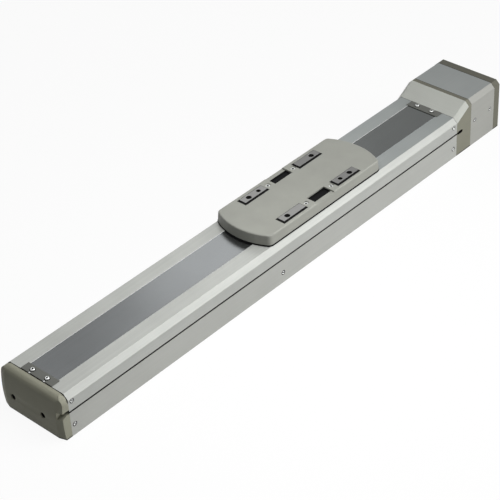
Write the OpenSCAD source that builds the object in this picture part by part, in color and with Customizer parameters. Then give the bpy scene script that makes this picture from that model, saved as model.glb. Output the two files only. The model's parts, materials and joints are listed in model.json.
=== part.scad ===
// Belt driven linear axis with a covered slider, a stainless cover strip and a side-mounted
// servo motor. +X runs along the axis to the motor end and +Z is up. The origin is below the
// middle of the whole length, on the surface that the axis stands on.

/* [Body] */
// Length of the base extrusion and its covers
body_len = 957.5; // [800:0.5:1400]
// Width over the side covers
body_w = 135; // [125:1:165]
// Height of the body's flat top
body_h = 78.2; // [76:0.1:94]
// Size of the 45 degree bevel along the top covers
body_bevel = 8.7; // [5:0.1:9.5]
// Wall thickness of the side and top covers
cover_t = 4; // [2.5:0.1:5]
// Thickness of the base extrusion's floor
floor_t = 12; // [10:0.5:14]
// Thickness of the base extrusion's walls
base_wall = 12; // [10:0.5:14]
// Thickness of the base wall behind the nut groove
groove_wall = 5.8; // [4:0.1:7]
// Height of the middle of the nut groove
groove_z = 46.8; // [44:0.1:50]
// Height of the nut groove's mouth
groove_mouth = 3.6; // [3:0.1:3.9]
// Height of the nut groove behind its mouth
groove_room = 10.6; // [8:0.1:12]
// Width of the ledges under the cover strip's edges
ledge_w = 6.7; // [5.5:0.1:8]
// Spacing of the mounting holes along the base
base_hole_pitch = 200; // [120:10:220]
// Distance of the mounting holes outside the guide rails
base_hole_out = 12; // [11:0.5:14]
// Diameter of the mounting holes in the base
base_hole_d = 8; // [6:0.5:8]

/* [Cover strip] */
// Gap between the stainless strip's edge and the pads beside it
strip_side = 4.6; // [3.5:0.1:7]
// Thickness of the stainless strip
strip_t = 0.3; // [0.2:0.05:0.5]
// Space between the lifted strip and the slider cover's roof
strip_room = 6.4; // [6:0.1:7]
// Length of a strip clamp plate along the axis
clamp_len = 16.2; // [14:0.1:20]
// How far a strip clamp plate reaches past the strip's edges
clamp_side = 3.5; // [1:0.1:6]
// Thickness of a strip clamp plate
clamp_t = 1.3; // [1:0.1:1.3]
// Distance between the two screws of a clamp plate
clamp_screw_span = 32; // [26:0.5:36]
// Distance of the clamp screws from the end of the body
clamp_screw_in = 8.4; // [7:0.1:10]

/* [End cap] */
// Thickness of the end cap where its front bows out most
cap_t = 18; // [16:0.5:24]
// Radius of that bow, seen from the side
cap_bow_r = 230; // [180:5:400]
// Height of the middle of the bow
cap_bow_z = 33; // [28:1:38]
// Radius of the cap's top corners, seen from the end
cap_corner_r = 15; // [10:0.5:18]
// Radius from the cap's top into its front
cap_brow_r = 12; // [6:0.5:13]
// Depth of the bevel between the cap's front and side
cap_bevel_x = 4; // [3:0.5:8]
// Width of that bevel across the front
cap_bevel_y = 12; // [6:0.5:14]
// Diameter of the screw holes in the cap
cap_hole_d = 10.4; // [9:0.1:12]
// Height of the screw holes in the cap
cap_hole_z = 31; // [24:0.5:36]
// Sideways place of the screw hole on the left
cap_hole_left = 39; // [34:0.5:42]
// Sideways place of the screw hole on the right
cap_hole_right = 26.5; // [22:0.5:32]
// Height of the channel that lets nuts into the groove
cap_channel_h = 7.6; // [6:0.1:8.5]
// How much higher the middle of that channel lies than the groove's
cap_channel_rise = 1.5; // [0:0.1:1.9]
// Length of the level part of the channel's floor
cap_channel_flat = 6; // [3:0.5:10]
// How far that floor falls from there to the cap's front
cap_channel_drop = 5.5; // [0:0.1:6]

/* [Drive end] */
// Length of the housing's slope
slope_len = 34; // [28:0.5:44]
// Length of the housing's flat band behind the slope
band_len = 8.5; // [6:0.5:12]
// Thickness of the bent sheet that covers the slope
slope_sheet_t = 1.5; // [1:0.1:2.5]
// How much higher the housing and the motor cover are than the body
drive_rise = 19.1; // [16:0.1:30]
// Size of the bevel along the motor cover
drive_bevel = 8; // [6:0.1:10]
// Length of the motor cover, which sets the size of the motor in it
motor_cover_len = 71; // [62:0.5:86]
// Wall thickness of the motor cover
motor_cover_t = 2.5; // [2:0.1:4]
// Thickness of the end plate
plate_t = 16; // [14:0.5:20]
// Size of the bevel at the end plate's top corners
plate_bevel = 7.5; // [5:0.1:9.5]
// Length of the slot that lets nuts into the groove
nut_slot_len = 15; // [11:0.5:16]
// Height of that slot
nut_slot_h = 6.6; // [5:0.1:7.5]

/* [Slider] */
// Length of the slider cover
slider_len = 317; // [300:1:381]
// Distance of the slider cover's foot outside the pads
slider_side = 10.5; // [9:0.5:13]
// Height of the slider cover's foot above the body
slider_gap = 1.4; // [1:0.1:1.5]
// Height of the slider cover
slider_h = 19.4; // [18.5:0.1:23]
// How far the slider cover leans in towards its top
slider_draft = 1.6; // [0:0.1:3]
// Radius of the slider cover's upper edge
slider_edge_r = 2.6; // [1:0.1:4]
// Radius of the slider cover's bowed ends
slider_end_r = 113; // [100:1:160]
// Radius of the slider cover's corners
slider_corner_r = 11; // [6:0.5:16]
// Wall thickness of the slider cover's sides
slider_wall = 2.6; // [2:0.1:3]
// Thickness of the slider cover's roof
slider_roof = 4.4; // [3.5:0.1:4.6]
// How far the pads stand above the slider cover
pad_proud = 1.1; // [0.5:0.1:2]
// Length of a mounting pad
pad_len = 54; // [48:0.5:60]
// Width of a mounting pad
pad_w = 14.4; // [12:0.2:16]
// Gap between a pad and the slider cover
pad_gap = 1.3; // [0.8:0.1:1.6]
// Distance of the pads from the slider cover's ends
pad_in = 62.5; // [61:0.5:64]
// Distance of a load hole from its pad's outer end
load_hole_in = 15.5; // [10:0.5:18]
// Spacing of the load holes across the axis
load_hole_y = 84.6; // [80:0.2:102]
// Diameter of the load holes
load_hole_d = 10; // [8:0.5:11]
// Spacing of the dowel holes along the axis
dowel_hole_x = 112.6; // [108:0.2:118]
// Diameter of the dowel holes
dowel_hole_d = 8; // [6:0.5:9]
// Length of the access ports in the slider cover
port_len = 44; // [36:0.5:48]
// Width of the access ports
port_w = 16; // [12:0.5:17]
// Depth of the shallow channel from a port to the side
port_channel = 2.4; // [1.5:0.1:2.4]
// Distance between the cover screws along the axis
cover_screw_x = 65; // [60:0.5:68]
// Diameter of the recess around the head of a cover screw
cover_recess_d = 10; // [9:0.5:11]
// Depth of that recess
cover_recess = 1.2; // [0.5:0.1:1.3]

/* [Carriage and guides] */
// Length of the table that rides on the guide blocks
table_len = 220; // [210:1:230]
// Thickness of that table
table_t = 14; // [12:0.5:15]
// Gap between that table and the base's walls
table_gap = 1.5; // [1:0.1:3]
// Distance of each guide rail's middle from the base's wall
rail_in = 18.5; // [18:0.5:19]
// Width of a guide rail
rail_w = 15; // [12:0.5:16]
// Height of a guide rail
rail_h = 15; // [14:0.5:16]
// Spacing of the screws in a guide rail
rail_pitch = 60; // [50:1:80]
// Width of a guide block
block_w = 33; // [30:0.5:33]
// Length of a guide block's steel body
block_len = 46; // [36:1:56]
// Distance between the guide blocks of one rail
block_span = 150; // [130:1:154]
// Height of a guide block's top above the rail's foot
block_h = 24; // [22:0.5:25]
// Radius of the rollers that press the strip down
press_roller_r = 5; // [4:0.1:5.5]
// Radius of the rollers that lift the strip
lift_roller_r = 4; // [3.5:0.1:4.2]
// Distance of the press rollers behind the slider cover's bowed end, at their holders' outsides
press_roller_in = 8.45; // [7:0.05:11]
// Distance between a press roller and its lift roller
roller_step = 32; // [30:0.5:34]

/* [Belt drive] */
// Tooth spacing of the belts
pitch = 5; // [5:1:5]
// Number of teeth on the two large pulleys
main_teeth = 24; // [20:1:29]
// Width of the main belt
belt_w = 25; // [16:1:26]
// Gap between the flanges of the large pulleys and the base's floor
flange_gap = 4.55; // [2:0.05:6]
// Distance of the drive shaft behind the body's end
drive_in = 18; // [17.5:0.5:19]
// Diameter of the drive shaft and the idler axle
shaft_d = 12; // [10:0.5:12]
// Outer diameter of the ball bearings
bearing_d = 28; // [24:0.5:28]
// Width of the ball bearings
bearing_w = 8; // [7:0.5:8]
// Number of teeth on the motor pulley and the driven wheel
side_teeth = 20; // [16:1:20]
// Width of the motor belt
motor_belt_w = 9; // [8:0.5:10]
// Length of the servo motor's body
motor_len = 70; // [60:1:74]

/* [Travel] */
// Gap between the slider cover and the body's end at the end of the stroke
stroke_gap = 20.25; // [20.25:0.25:120]
// Place of the slider's middle from the cap, as modelled
slider_x = 602; // [300:1:770]

/* [Hidden] */

$fn = 48;
eps = 0.01;         // overshoot of cuts
fit = 0.05;         // radial clearance of pins, screws and bearings
run = 0.3;          // clearance between pieces that slide past each other
chamfer = 0.5;      // at the mouths of the load holes

// Places along the axis, from the joint between the end cap and the body
slope_end = body_len + slope_len;
housing_end = slope_end + band_len;
cover_end = housing_end + motor_cover_len;
plate_end = cover_end + plate_t;
total_len = cap_t + plate_end;
middle_x = plate_end - total_len / 2;

// The body's section
half_w = body_w / 2;
drive_h = body_h + drive_rise;
core_y = half_w - cover_t;
wall_y = core_y - base_wall;
groove_y = wall_y + groove_wall;
under_z = body_h - cover_t;
pad_y = load_hole_y / 2;
strip_w = 2 * (pad_y - pad_w / 2 - strip_side);
slot_w = strip_w - 2 * ledge_w;
ledge_y = slot_w / 2;
ledge_z = body_h - strip_t;
ledge_edge = strip_w / 2 + run;
magnet_in = ledge_y + 1.2;      // the magnet strips in the ledges
magnet_out = ledge_edge - 1;
magnet_t = 1.5;
groove_top = groove_z + groove_mouth / 2;
groove_foot = groove_z - groove_mouth / 2;
room_top = groove_z + groove_room / 2;
room_foot = groove_z - groove_room / 2;
rib_h = 4.4;        // height of the rib over the nut groove
chamber_foot = 26;  // the hollow in each wall of the base
chamber_wall = 2.5;
chamber_roof = 3.5;
boss_low = room_top + rib_h + 5.5;      // foot of the wall's upper boss
bevel_sum = half_w - body_bevel + body_h;   // y + z along the outer bevel
inner_sum = core_y + under_z - body_bevel + 2.35;   // y + z along the inner bevel
boss_top = inner_sum - core_y - 0.4;

// Screws
side_screw_len = 9;
side_screw_low = 20;
side_screw_high = body_h - 13.2;
side_screw_near = 7.5;
side_screw_far = body_len - 10;
small_head_d = 6;
small_screw_d = 3;
cover_head_d = 8;
cover_thread_d = 4;
clamp_thread_d = 4;
clamp_slot_w = 4.6;
cover_screw_z = 50.6;
cover_screw_in = 12;

// The guides and the slider
rail_y = wall_y - rail_in;
slider_mid = body_len / 2;
stroke = body_len - slider_len - 2 * stroke_gap;
slider_foot = body_h + slider_gap;
slider_top = slider_foot + slider_h;
pad_top = slider_top + pad_proud;
slider_w = load_hole_y + pad_w + 2 * slider_side;
pad_x = slider_len / 2 - pad_in - pad_len / 2;
load_hole_x = slider_len - 2 * (pad_in + load_hole_in);
port_y = pad_y;
table_w = 2 * (wall_y - table_gap);
table_top = floor_t + block_h + table_t;
neck_w = slot_w - 4;
neck_len = 150;
roof_z = slider_top - slider_roof;      // underside of the slider cover's roof
rest_z = roof_z - strip_room;           // underside of the lifted strip
strip_rise = rest_z - body_h + strip_t;
mount_top = rest_z - 1.2;
cover_screw_len = slider_top - cover_recess - mount_top + 4;
mount_w = pad_y * 2 + pad_w;
cheek_y = strip_w / 2 + 1.5;    // inside of the roller holders' cheeks
cheek_t = 4.5;
bow_depth = slider_end_r - sqrt(pow(slider_end_r, 2) - pow(cheek_y + cheek_t, 2));
press_roller_x = slider_len / 2 - bow_depth - press_roller_in;
lift_roller_x = press_roller_x - roller_step;
mount_len = 2 * (lift_roller_x - 7);
bolt_seat = 2.6;
stop_gap = 3;

// The main belt drive; radii of the land between the belt's teeth
belt_gap = 0.1;
tooth_h = 1.2;
tooth_root = 1.35;
tooth_tip = 0.9;
belt_back = 1.5;
pitch_line = 0.55;
flange_rise = 3;
main_r = main_teeth * pitch / (2 * PI) - pitch_line - belt_gap;
side_r = side_teeth * pitch / (2 * PI) - pitch_line - belt_gap;
axis_z = floor_t + main_r + flange_rise + flange_gap;
drive_x = body_len + drive_in;
block_t = 13;       // thickness of the idler block
idler_in = block_t + main_r + flange_rise + 1.5;
span_steps = floor((drive_x - idler_in) / (pitch / 2));
main_span = span_steps * pitch / 2;
idler_x = drive_x - main_span;
pulley_w = belt_w + 1;
flange_t = 1.4;
belt_top_z = axis_z + main_r + belt_gap;
jaw_len = 30;
jaw_x = neck_len / 2 + jaw_len / 2 + 1;

// The motor and its belt
tray_t = 12;
motor_w = motor_cover_len - 11;
motor_z = tray_t + 4 + motor_w / 2;
motor_rise = motor_z - axis_z;
motor_reach = housing_end + 5.5 + motor_w / 2 - drive_x;
motor_span = ceil(sqrt(pow(motor_reach, 2) + pow(motor_rise, 2)) / (pitch / 2)) * pitch / 2;
motor_turn = asin(motor_rise / motor_span);
motor_x = drive_x + motor_span * cos(motor_turn);
side_belt_y = 52;
bracket_y = 36;
bracket_t = 8;
motor_shaft_d = 11;
bearing_y = 17.5;
shaft_left = 58.5;
shaft_right = 30;
wheel_w = motor_belt_w + 1;
shaft_hole = shaft_d / 2 + fit;

// ---------------------------------------------------------------- placing

// From the cap joint to the middle of the whole length
module place() { translate([-middle_x, 0, 0]) children(); }
module at_slider() { translate([slider_x, 0, 0]) children(); }

// A flat shape in Y and Z, drawn out along X from a to b
module along_x(a, b) { translate([a, 0, 0]) rotate([90, 0, 90]) linear_extrude(b - a) children(); }
// A flat shape in X and Z, drawn out along Y from a to b
module along_y(a, b) { translate([0, b, 0]) rotate([90, 0, 0]) linear_extrude(b - a) children(); }
module mirrored() { children(); mirror([0, 1, 0]) children(); }
module at_corners(dx, dy) { for (x = [-dx, dx], y = [-dy, dy]) translate([x, y, 0]) children(); }
module rod_x(d, a, b) { translate([a, 0, 0]) rotate([0, 90, 0]) cylinder(d = d, h = b - a); }
module rod_y(d, a, b) { translate([0, b, 0]) rotate([90, 0, 0]) cylinder(d = d, h = b - a); }
module block(low, high) { translate(low) cube(high - low); }
// A box across both sides of the axis, from -y to y
module slab(x0, x1, y, z0, z1) { block([x0, -y, z0], [x1, y, z1]); }

// An outline that is the same on both sides, from the points of its right half
function both_halves(p) = concat(p, [for (i = [len(p) - 1:-1:0]) [-p[i].x, p[i].y]]);

// ---------------------------------------------------------------- screws

// Flat-headed screw with its head's face at the origin, pointing down
module flat_screw(d, head_d, length) {
    head_h = (head_d - d) / 2;
    difference() {
        union() {
            translate([0, 0, -head_h]) cylinder(d1 = d, d2 = head_d, h = head_h);
            translate([0, 0, -length]) cylinder(d = d, h = length - head_h + eps);
        }
        translate([0, 0, -head_h * 0.8]) cylinder(d = d * 0.72, h = head_h, $fn = 6);
    }
}
module flat_screw_hole(d, head_d, length) {
    head_h = (head_d - d) / 2;
    translate([0, 0, -head_h - fit]) cylinder(d1 = d + 2 * fit, d2 = head_d + 4 * fit, h = head_h + 2 * fit);
    translate([0, 0, -length - 0.5]) cylinder(d = d + 2 * fit, h = length + 0.5);
}
// Socket-headed screw with the underside of its head at the origin, pointing down
module socket_screw(d, length) {
    difference() {
        union() {
            cylinder(d = d * 1.7, h = d * 0.8);
            translate([0, 0, -length]) cylinder(d = d, h = length + eps);
        }
        translate([0, 0, d * 0.35]) cylinder(d = d * 0.9, h = d, $fn = 6);
    }
}
// Round-headed screw with the underside of its head at the origin, pointing down
module pan_screw(d, length) {
    difference() {
        union() {
            cylinder(d = d * 1.9, h = d * 0.25);
            translate([0, 0, d * 0.25 - eps]) cylinder(d1 = d * 1.9, d2 = d * 1.3, h = d * 0.35);
            translate([0, 0, -length]) cylinder(d = d, h = length + eps);
        }
        translate([0, 0, d * 0.25]) cylinder(d = d * 0.8, h = d, $fn = 6);
    }
}
// The side screws' places: x and height
side_screw_places = [
    [side_screw_near, side_screw_low], [side_screw_near, side_screw_high],
    [slider_mid, side_screw_low],
    [side_screw_far, side_screw_low], [side_screw_far, side_screw_high]
];
module at_side_screws() {
    mirrored() for (p = side_screw_places)
        translate([p.x, half_w, p.y]) rotate([-90, 0, 0]) children();
}

// ---------------------------------------------------------------- body

function base_half() = [
    [0, 0.8], [28, 0.8], [30, 0], [core_y, 0], [core_y, room_foot], [groove_y, room_foot],
    [groove_y, room_top], [core_y, room_top], [core_y, room_top + rib_h], [groove_y, room_top + rib_h],
    [groove_y, boss_low], [core_y, boss_low], [core_y, boss_top],
    [min(groove_y, inner_sum - under_z), under_z], [wall_y, under_z], [wall_y, floor_t], [0, floor_t]
];
base_hole_steps = floor((body_len / 2 - 40) / base_hole_pitch);
base_hole_rows = [for (i = [-base_hole_steps:base_hole_steps]) i * base_hole_pitch];
module base_holes() {
    for (x = base_hole_rows, y = [-1, 1] * (rail_y + base_hole_out))
        translate([x + slider_mid, y, -eps]) cylinder(d = base_hole_d, h = floor_t - 3);
}
module base_frame() {
    color([0.74, 0.75, 0.74]) difference() {
        along_x(0, body_len) polygon(both_halves(base_half()));
        // chambers in the walls
        mirrored() along_x(-eps, body_len + eps)
            translate([wall_y + chamber_wall, chamber_foot])
                square([core_y - wall_y - 2 * chamber_wall, room_foot - chamber_foot - chamber_roof]);
        base_holes();
        at_side_screws() translate([0, 0, -side_screw_len - 0.5])
            cylinder(d = small_screw_d + 2 * fit, h = side_screw_len + 1);
        rail_screw_holes();
    }
}
module side_cover() {
    difference() {
        along_x(0, body_len) translate([core_y, 0]) square([cover_t, groove_foot]);
        at_side_screws() flat_screw_hole(small_screw_d, small_head_d, side_screw_len);
    }
}
module top_cover() {
    p = [
        [ledge_y, under_z], [inner_sum - under_z, under_z], [core_y, inner_sum - core_y],
        [core_y, groove_top], [half_w, groove_top], [half_w, bevel_sum - half_w],
        [half_w - body_bevel, body_h], [ledge_edge, body_h], [ledge_edge, ledge_z],
        [magnet_out, ledge_z], [magnet_out, ledge_z - magnet_t], [magnet_in, ledge_z - magnet_t],
        [magnet_in, ledge_z], [ledge_y, ledge_z]
    ];
    difference() {
        along_x(0, body_len) polygon(p);
        at_side_screws() flat_screw_hole(small_screw_d, small_head_d, side_screw_len);
    }
}
module side_cover_left() { color([0.68, 0.69, 0.67]) side_cover(); }
module side_cover_right() { color([0.68, 0.69, 0.67]) mirror([0, 1, 0]) side_cover(); }
module top_cover_left() { color([0.75, 0.76, 0.75]) top_cover(); }
module top_cover_right() { color([0.75, 0.76, 0.75]) mirror([0, 1, 0]) top_cover(); }
module side_screws() {
    color([0.6, 0.6, 0.6]) at_side_screws() flat_screw(small_screw_d, small_head_d, side_screw_len);
}
module magnet_strips() {
    color([0.12, 0.12, 0.12]) mirrored() along_x(0, body_len)
        translate([magnet_in, ledge_z - magnet_t]) square([magnet_out - magnet_in, magnet_t]);
}

// ---------------------------------------------------------------- cover strip

// The strip's middle line rises by strip_rise between the press and the lift rollers. Both
// corners lie where the tangents of the rollers meet.
bend_press = press_roller_r + fit + strip_t / 2;
bend_lift = lift_roller_r + fit + strip_t / 2;
ramp_run = press_roller_x - lift_roller_x;
ramp_guess = atan(strip_rise / ramp_run);
ramp_turn = atan(strip_rise / (ramp_run - (bend_press + bend_lift) * tan(ramp_guess / 2)));
ramp_low = press_roller_x - bend_press * tan(ramp_turn / 2);
ramp_high = lift_roller_x + bend_lift * tan(ramp_turn / 2);
strip_low = body_h - strip_t;
strip_in = 0.6;
function strip_line(up) = [
    [strip_in - slider_x, strip_low + up], [-ramp_low, strip_low + up], [-ramp_high, rest_z + up],
    [ramp_high, rest_z + up], [ramp_low, strip_low + up], [body_len - strip_in - slider_x, strip_low + up]
];
module seal_strip() {
    upper = strip_line(strip_t);
    color([0.42, 0.44, 0.45]) at_slider() difference() {
        along_y(-strip_w / 2, strip_w / 2)
            polygon(concat(strip_line(0), [for (i = [len(upper) - 1:-1:0]) upper[i]]));
        for (x = [clamp_screw_in, body_len - clamp_screw_in], y = [-1, 1] * clamp_screw_span / 2)
            translate([x - slider_x, y, body_h - 2]) cylinder(d = clamp_slot_w, h = 4);
    }
}
module clamp_plate() {
    difference() {
        slab(strip_in, strip_in + clamp_len, strip_w / 2 + clamp_side, body_h, body_h + clamp_t);
        for (y = [-1, 1] * clamp_screw_span / 2) {
            translate([clamp_screw_in, y, body_h - 1]) cylinder(d = clamp_slot_w, h = 4);
            block([-1, y - clamp_slot_w / 2, body_h - 1], [clamp_screw_in, y + clamp_slot_w / 2, body_h + 3]);
        }
    }
}
module at_far_end() { translate([body_len, 0, 0]) mirror([1, 0, 0]) children(); }
module strip_clamp_near() { color([0.3, 0.3, 0.29]) clamp_plate(); }
module strip_clamp_far() { color([0.3, 0.3, 0.29]) at_far_end() clamp_plate(); }
module clamp_screw_set() {
    for (y = [-1, 1] * clamp_screw_span / 2)
        translate([clamp_screw_in, y, body_h + clamp_t]) pan_screw(clamp_thread_d, 9);
}
module clamp_screw_bores() {
    for (y = [-1, 1] * clamp_screw_span / 2)
        translate([clamp_screw_in, y, body_h - 9.5]) cylinder(d = clamp_thread_d + 2 * fit, h = 10);
}
module strip_clamp_screws() {
    color([0.8, 0.8, 0.8]) { clamp_screw_set(); at_far_end() clamp_screw_set(); }
}

// ---------------------------------------------------------------- near end

// The cap's outline from the end: flat foot, upright sides and round top corners
module cap_outline() {
    intersection() {
        translate([-half_w, 0]) square([body_w, body_h]);
        union() {
            translate([-half_w, -1]) square([body_w, body_h - cap_corner_r + 1]);
            translate([-half_w + cap_corner_r, -1]) square([body_w - 2 * cap_corner_r, body_h + 1]);
            for (s = [-1, 1]) translate([s * (half_w - cap_corner_r), body_h - cap_corner_r])
                circle(cap_corner_r, $fn = 64);
        }
    }
}
// The cap from the side: a bowed front and a round brow that touches the bow inside
module cap_side() {
    r = cap_brow_r;
    brow_z = body_h - r;
    brow_x = cap_bow_r - cap_t - sqrt(pow(cap_bow_r - r, 2) - pow(brow_z - cap_bow_z, 2));
    touch_z = brow_z + r * (brow_z - cap_bow_z) / (cap_bow_r - r);
    intersection() {
        translate([cap_bow_r - cap_t, cap_bow_z]) circle(cap_bow_r, $fn = 360);
        translate([-cap_t - 1, 0]) square([cap_t + 1, touch_z]);
    }
    translate([brow_x, brow_z]) {
        circle(r, $fn = 64);
        square([-brow_x, r]);
    }
}
// What lies inside the bowed bevel on the right
module cap_bevel() {
    translate([-cap_t, cap_bevel_y - half_w, cap_bow_z]) rotate(atan(cap_bevel_x / cap_bevel_y))
        translate([cap_bow_r, 0, 0]) rotate([90, 0, 0])
            cylinder(r = cap_bow_r, h = 4 * body_w, center = true, $fn = 360);
}
cap_hole_places = [cap_hole_left, -cap_hole_right];
module end_cap() {
    low = groove_z + cap_channel_rise - cap_channel_h / 2;
    color([0.4, 0.4, 0.34]) difference() {
        intersection() {
            along_x(-cap_t, 0) cap_outline();
            along_y(-half_w, half_w) cap_side();
            cap_bevel();
            mirror([0, 1, 0]) cap_bevel();
        }
        // nut channel, open to the right and into the groove
        along_y(-half_w - 1, -groove_y) polygon([
            [1, low], [-cap_channel_flat, low], [-cap_t, low - cap_channel_drop],
            [-cap_t - 1, low - cap_channel_drop], [-cap_t - 1, low + cap_channel_h],
            [1, low + cap_channel_h]
        ]);
        for (y = cap_hole_places) translate([0, y, cap_hole_z]) {
            rod_x(cap_hole_d, -cap_t - 1, -5);
            rod_x(5 + 2 * fit, -6, 1);
        }
    }
}
module cap_screws() {
    color([0.2, 0.2, 0.2]) for (y = cap_hole_places)
        translate([-5, y, cap_hole_z]) rotate([0, -90, 0]) socket_screw(5, 14);
}
module idler_block() {
    color([0.66, 0.67, 0.67]) difference() {
        union() {
            slab(0, block_t, wall_y, floor_t, under_z);
            slab(0, block_t, ledge_y - run, under_z - 1, strip_low);
        }
        clamp_screw_bores();
        for (y = cap_hole_places) translate([0, y, cap_hole_z]) rod_x(5 + 2 * fit, -1, 11);
        for (y = [-1, 1] * fork_y) translate([0, y, axis_z + 12]) rod_x(5 + 2 * fit, -1, block_t + 1);
    }
}
fork_gap = pulley_w + 2 * flange_t + 1.2;
fork_t = 8;
fork_y = fork_gap / 2 + fork_t / 2;
module idler_fork() {
    a = block_t + 1.5;
    b = idler_x + 12;
    color([0.6, 0.61, 0.61]) difference() {
        union() {
            slab(a, b, fork_y + fork_t / 2, floor_t, axis_z - main_r - 5.2);
            mirrored() block([a, fork_gap / 2, floor_t], [b, fork_y + fork_t / 2, axis_z + 17]);
        }
        translate([idler_x, 0, axis_z]) rod_y(shaft_d + 2 * fit, -50, 50);
        for (y = [-1, 1] * fork_y) translate([0, y, axis_z + 12]) rod_x(5 + 2 * fit, a - 1, a + 12);
    }
}
module tension_screws() {
    color([0.3, 0.3, 0.3]) for (y = [-1, 1] * fork_y)
        translate([0, y, axis_z + 12]) rotate([0, -90, 0]) translate([0, 0, -4.2]) difference() {
            translate([0, 0, -18]) cylinder(d = 5, h = 22);
            translate([0, 0, 1]) cylinder(d = 2.8, h = 4, $fn = 6);
        }
}
module idler_axle() {
    color([0.7, 0.7, 0.7]) translate([idler_x, 0, axis_z])
        rod_y(shaft_d, -fork_y - fork_t / 2, fork_y + fork_t / 2);
}
module idler_bearings() {
    w = min(bearing_w, pulley_w / 2 - 3);
    color([0.75, 0.75, 0.75]) translate([idler_x, 0, axis_z]) mirrored() ball_bearing(3, 3 + w);
}
// A ball bearing between y = a and y = b: its two rings and shields as one body
module ball_bearing(a, b) {
    difference() {
        rod_y(bearing_d - 2 * fit, a, b);
        rod_y(2 * shaft_hole, a - 1, b + 1);
        for (s = [a - 1, b - 0.5]) difference() {
            rod_y(bearing_d - 5, s, s + 1.5);
            rod_y(shaft_d + 5, s - 1, s + 3);
        }
    }
}

// ---------------------------------------------------------------- guides

rail_start = block_t + 4;
rail_end = body_len - 10;
rail_count = floor((rail_end - rail_start - 20) / rail_pitch);
rail_screw_first = (rail_start + rail_end - rail_count * rail_pitch) / 2;
module at_rail_screws() {
    for (i = [0:rail_count], y = [-rail_y, rail_y])
        translate([rail_screw_first + i * rail_pitch, y, floor_t]) children();
}
module rail_screw_holes() {
    at_rail_screws() translate([0, 0, -7]) cylinder(d = 4 + 2 * fit, h = 8, $fn = 24);
}
function rail_half(grow, up) = [
    [rail_w / 2 + grow, 0], [rail_w / 2 + grow, rail_h * 0.4 - grow], [rail_w / 2 - 1.5 + grow, rail_h * 0.5],
    [rail_w / 2 - 1.5 + grow, rail_h * 0.64], [rail_w / 2 + grow, rail_h * 0.74 - grow],
    [rail_w / 2 + grow, rail_h - 1 + up], [rail_w / 2 - 1 + grow, rail_h + up]
];
module rail_section(grow, up) { polygon(both_halves(rail_half(grow, up))); }
module guide_rails() {
    color([0.62, 0.63, 0.64]) difference() {
        for (y = [-rail_y, rail_y]) along_x(rail_start, rail_end) translate([y, floor_t]) rail_section(0, 0);
        at_rail_screws() {
            translate([0, 0, -1]) cylinder(d = 4.5, h = rail_h + 2, $fn = 24);
            translate([0, 0, rail_h - 5.3]) cylinder(d = 7.6, h = 6, $fn = 24);
        }
    }
}
module rail_screws() {
    color([0.25, 0.25, 0.25]) at_rail_screws() {
        translate([0, 0, -6]) cylinder(d = 4, h = rail_h - 5.3 + 6 + eps, $fn = 24);
        translate([0, 0, rail_h - 5.3]) cylinder(d = 7, h = 4, $fn = 24);
    }
}
block_x = block_span / 2;
seal_t = 6;
module at_blocks() { translate([0, 0, floor_t]) at_corners(block_x, rail_y) children(); }
module block_section(w, h, grow) {
    difference() {
        translate([-w / 2, 4.4]) square([w, h - 4.4]);
        rail_section(grow, grow);
    }
}
module guide_blocks() {
    color([0.55, 0.56, 0.57]) at_slider() at_blocks()
        along_x(-block_len / 2, block_len / 2) block_section(block_w, block_h, run);
}
module block_seals() {
    color([0.15, 0.2, 0.17]) at_slider() at_blocks() for (s = [-1, 1])
        translate([s * (block_len + seal_t) / 2, 0, 0])
            along_x(-seal_t / 2, seal_t / 2) block_section(block_w - 1, block_h - 0.6, run + 0.1);
}
stop_near = slider_mid - stroke / 2 - table_len / 2 - stop_gap;
stop_far = slider_mid + stroke / 2 + table_len / 2 + stop_gap;
module end_stop() {
    block([-13, rail_y + rail_w / 2 + 1, floor_t], [-6, wall_y, floor_t + block_h + table_t - 3]);
    translate([0, wall_y - 4.8, floor_t + block_h + table_t / 2 - 1]) rod_x(8, -6.2, 0);
}
module end_stops() {
    color([0.2, 0.2, 0.2]) mirrored() {
        translate([stop_near, 0, 0]) end_stop();
        translate([stop_far, 0, 0]) mirror([1, 0, 0]) end_stop();
    }
}

// ---------------------------------------------------------------- toothed belts

// A loop round two equal pulleys, at x = 0 and x = span. s runs from the top of the pulley at
// span, round it, back along the bottom, round the other pulley and along the top. d is the
// distance outside the land between the teeth.
function half_turn(n) = n * pitch / 2;
function loop_len(n, span) = 2 * half_turn(n) + 2 * span;
function loop_at(s, d, n, span, r) =
    let (h = half_turn(n), q = r + d, t = s < 0 ? s + loop_len(n, span) : s)
    t < h ? [span + q * sin(180 * t / h), q * cos(180 * t / h)] :
    t < h + span ? [span - (t - h), -q] :
    t < 2 * h + span ? [-q * sin(180 * (t - h - span) / h), -q * cos(180 * (t - h - span) / h)] :
    [t - 2 * h - span, q];
tooth_form = [[-tooth_root, 0], [-tooth_tip, -tooth_h], [tooth_tip, -tooth_h], [tooth_root, 0]];
function teeth_line(first, last, n, span, r) = [
    for (k = [first:last], p = tooth_form) loop_at(k * pitch + p.x, p.y, n, span, r)
];
// Places along the loop where its back needs a point: the two bends and their ends
function bend_stops(n, span) = concat(
    [for (i = [0:n]) i * pitch / 2], [for (i = [0:n]) half_turn(n) + span + i * pitch / 2]
);
// The back from s1 to s0, against the teeth's direction
function back_line(s0, s1, n, span, r) =
    let (stops = bend_stops(n, span), inner = [for (s = stops) if (s > s0 + 1 && s < s1 - 1) s])
    [for (i = [len(inner):-1:-1])
        loop_at(i < 0 ? s0 : i == len(inner) ? s1 : inner[i], belt_back, n, span, r)];
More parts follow.
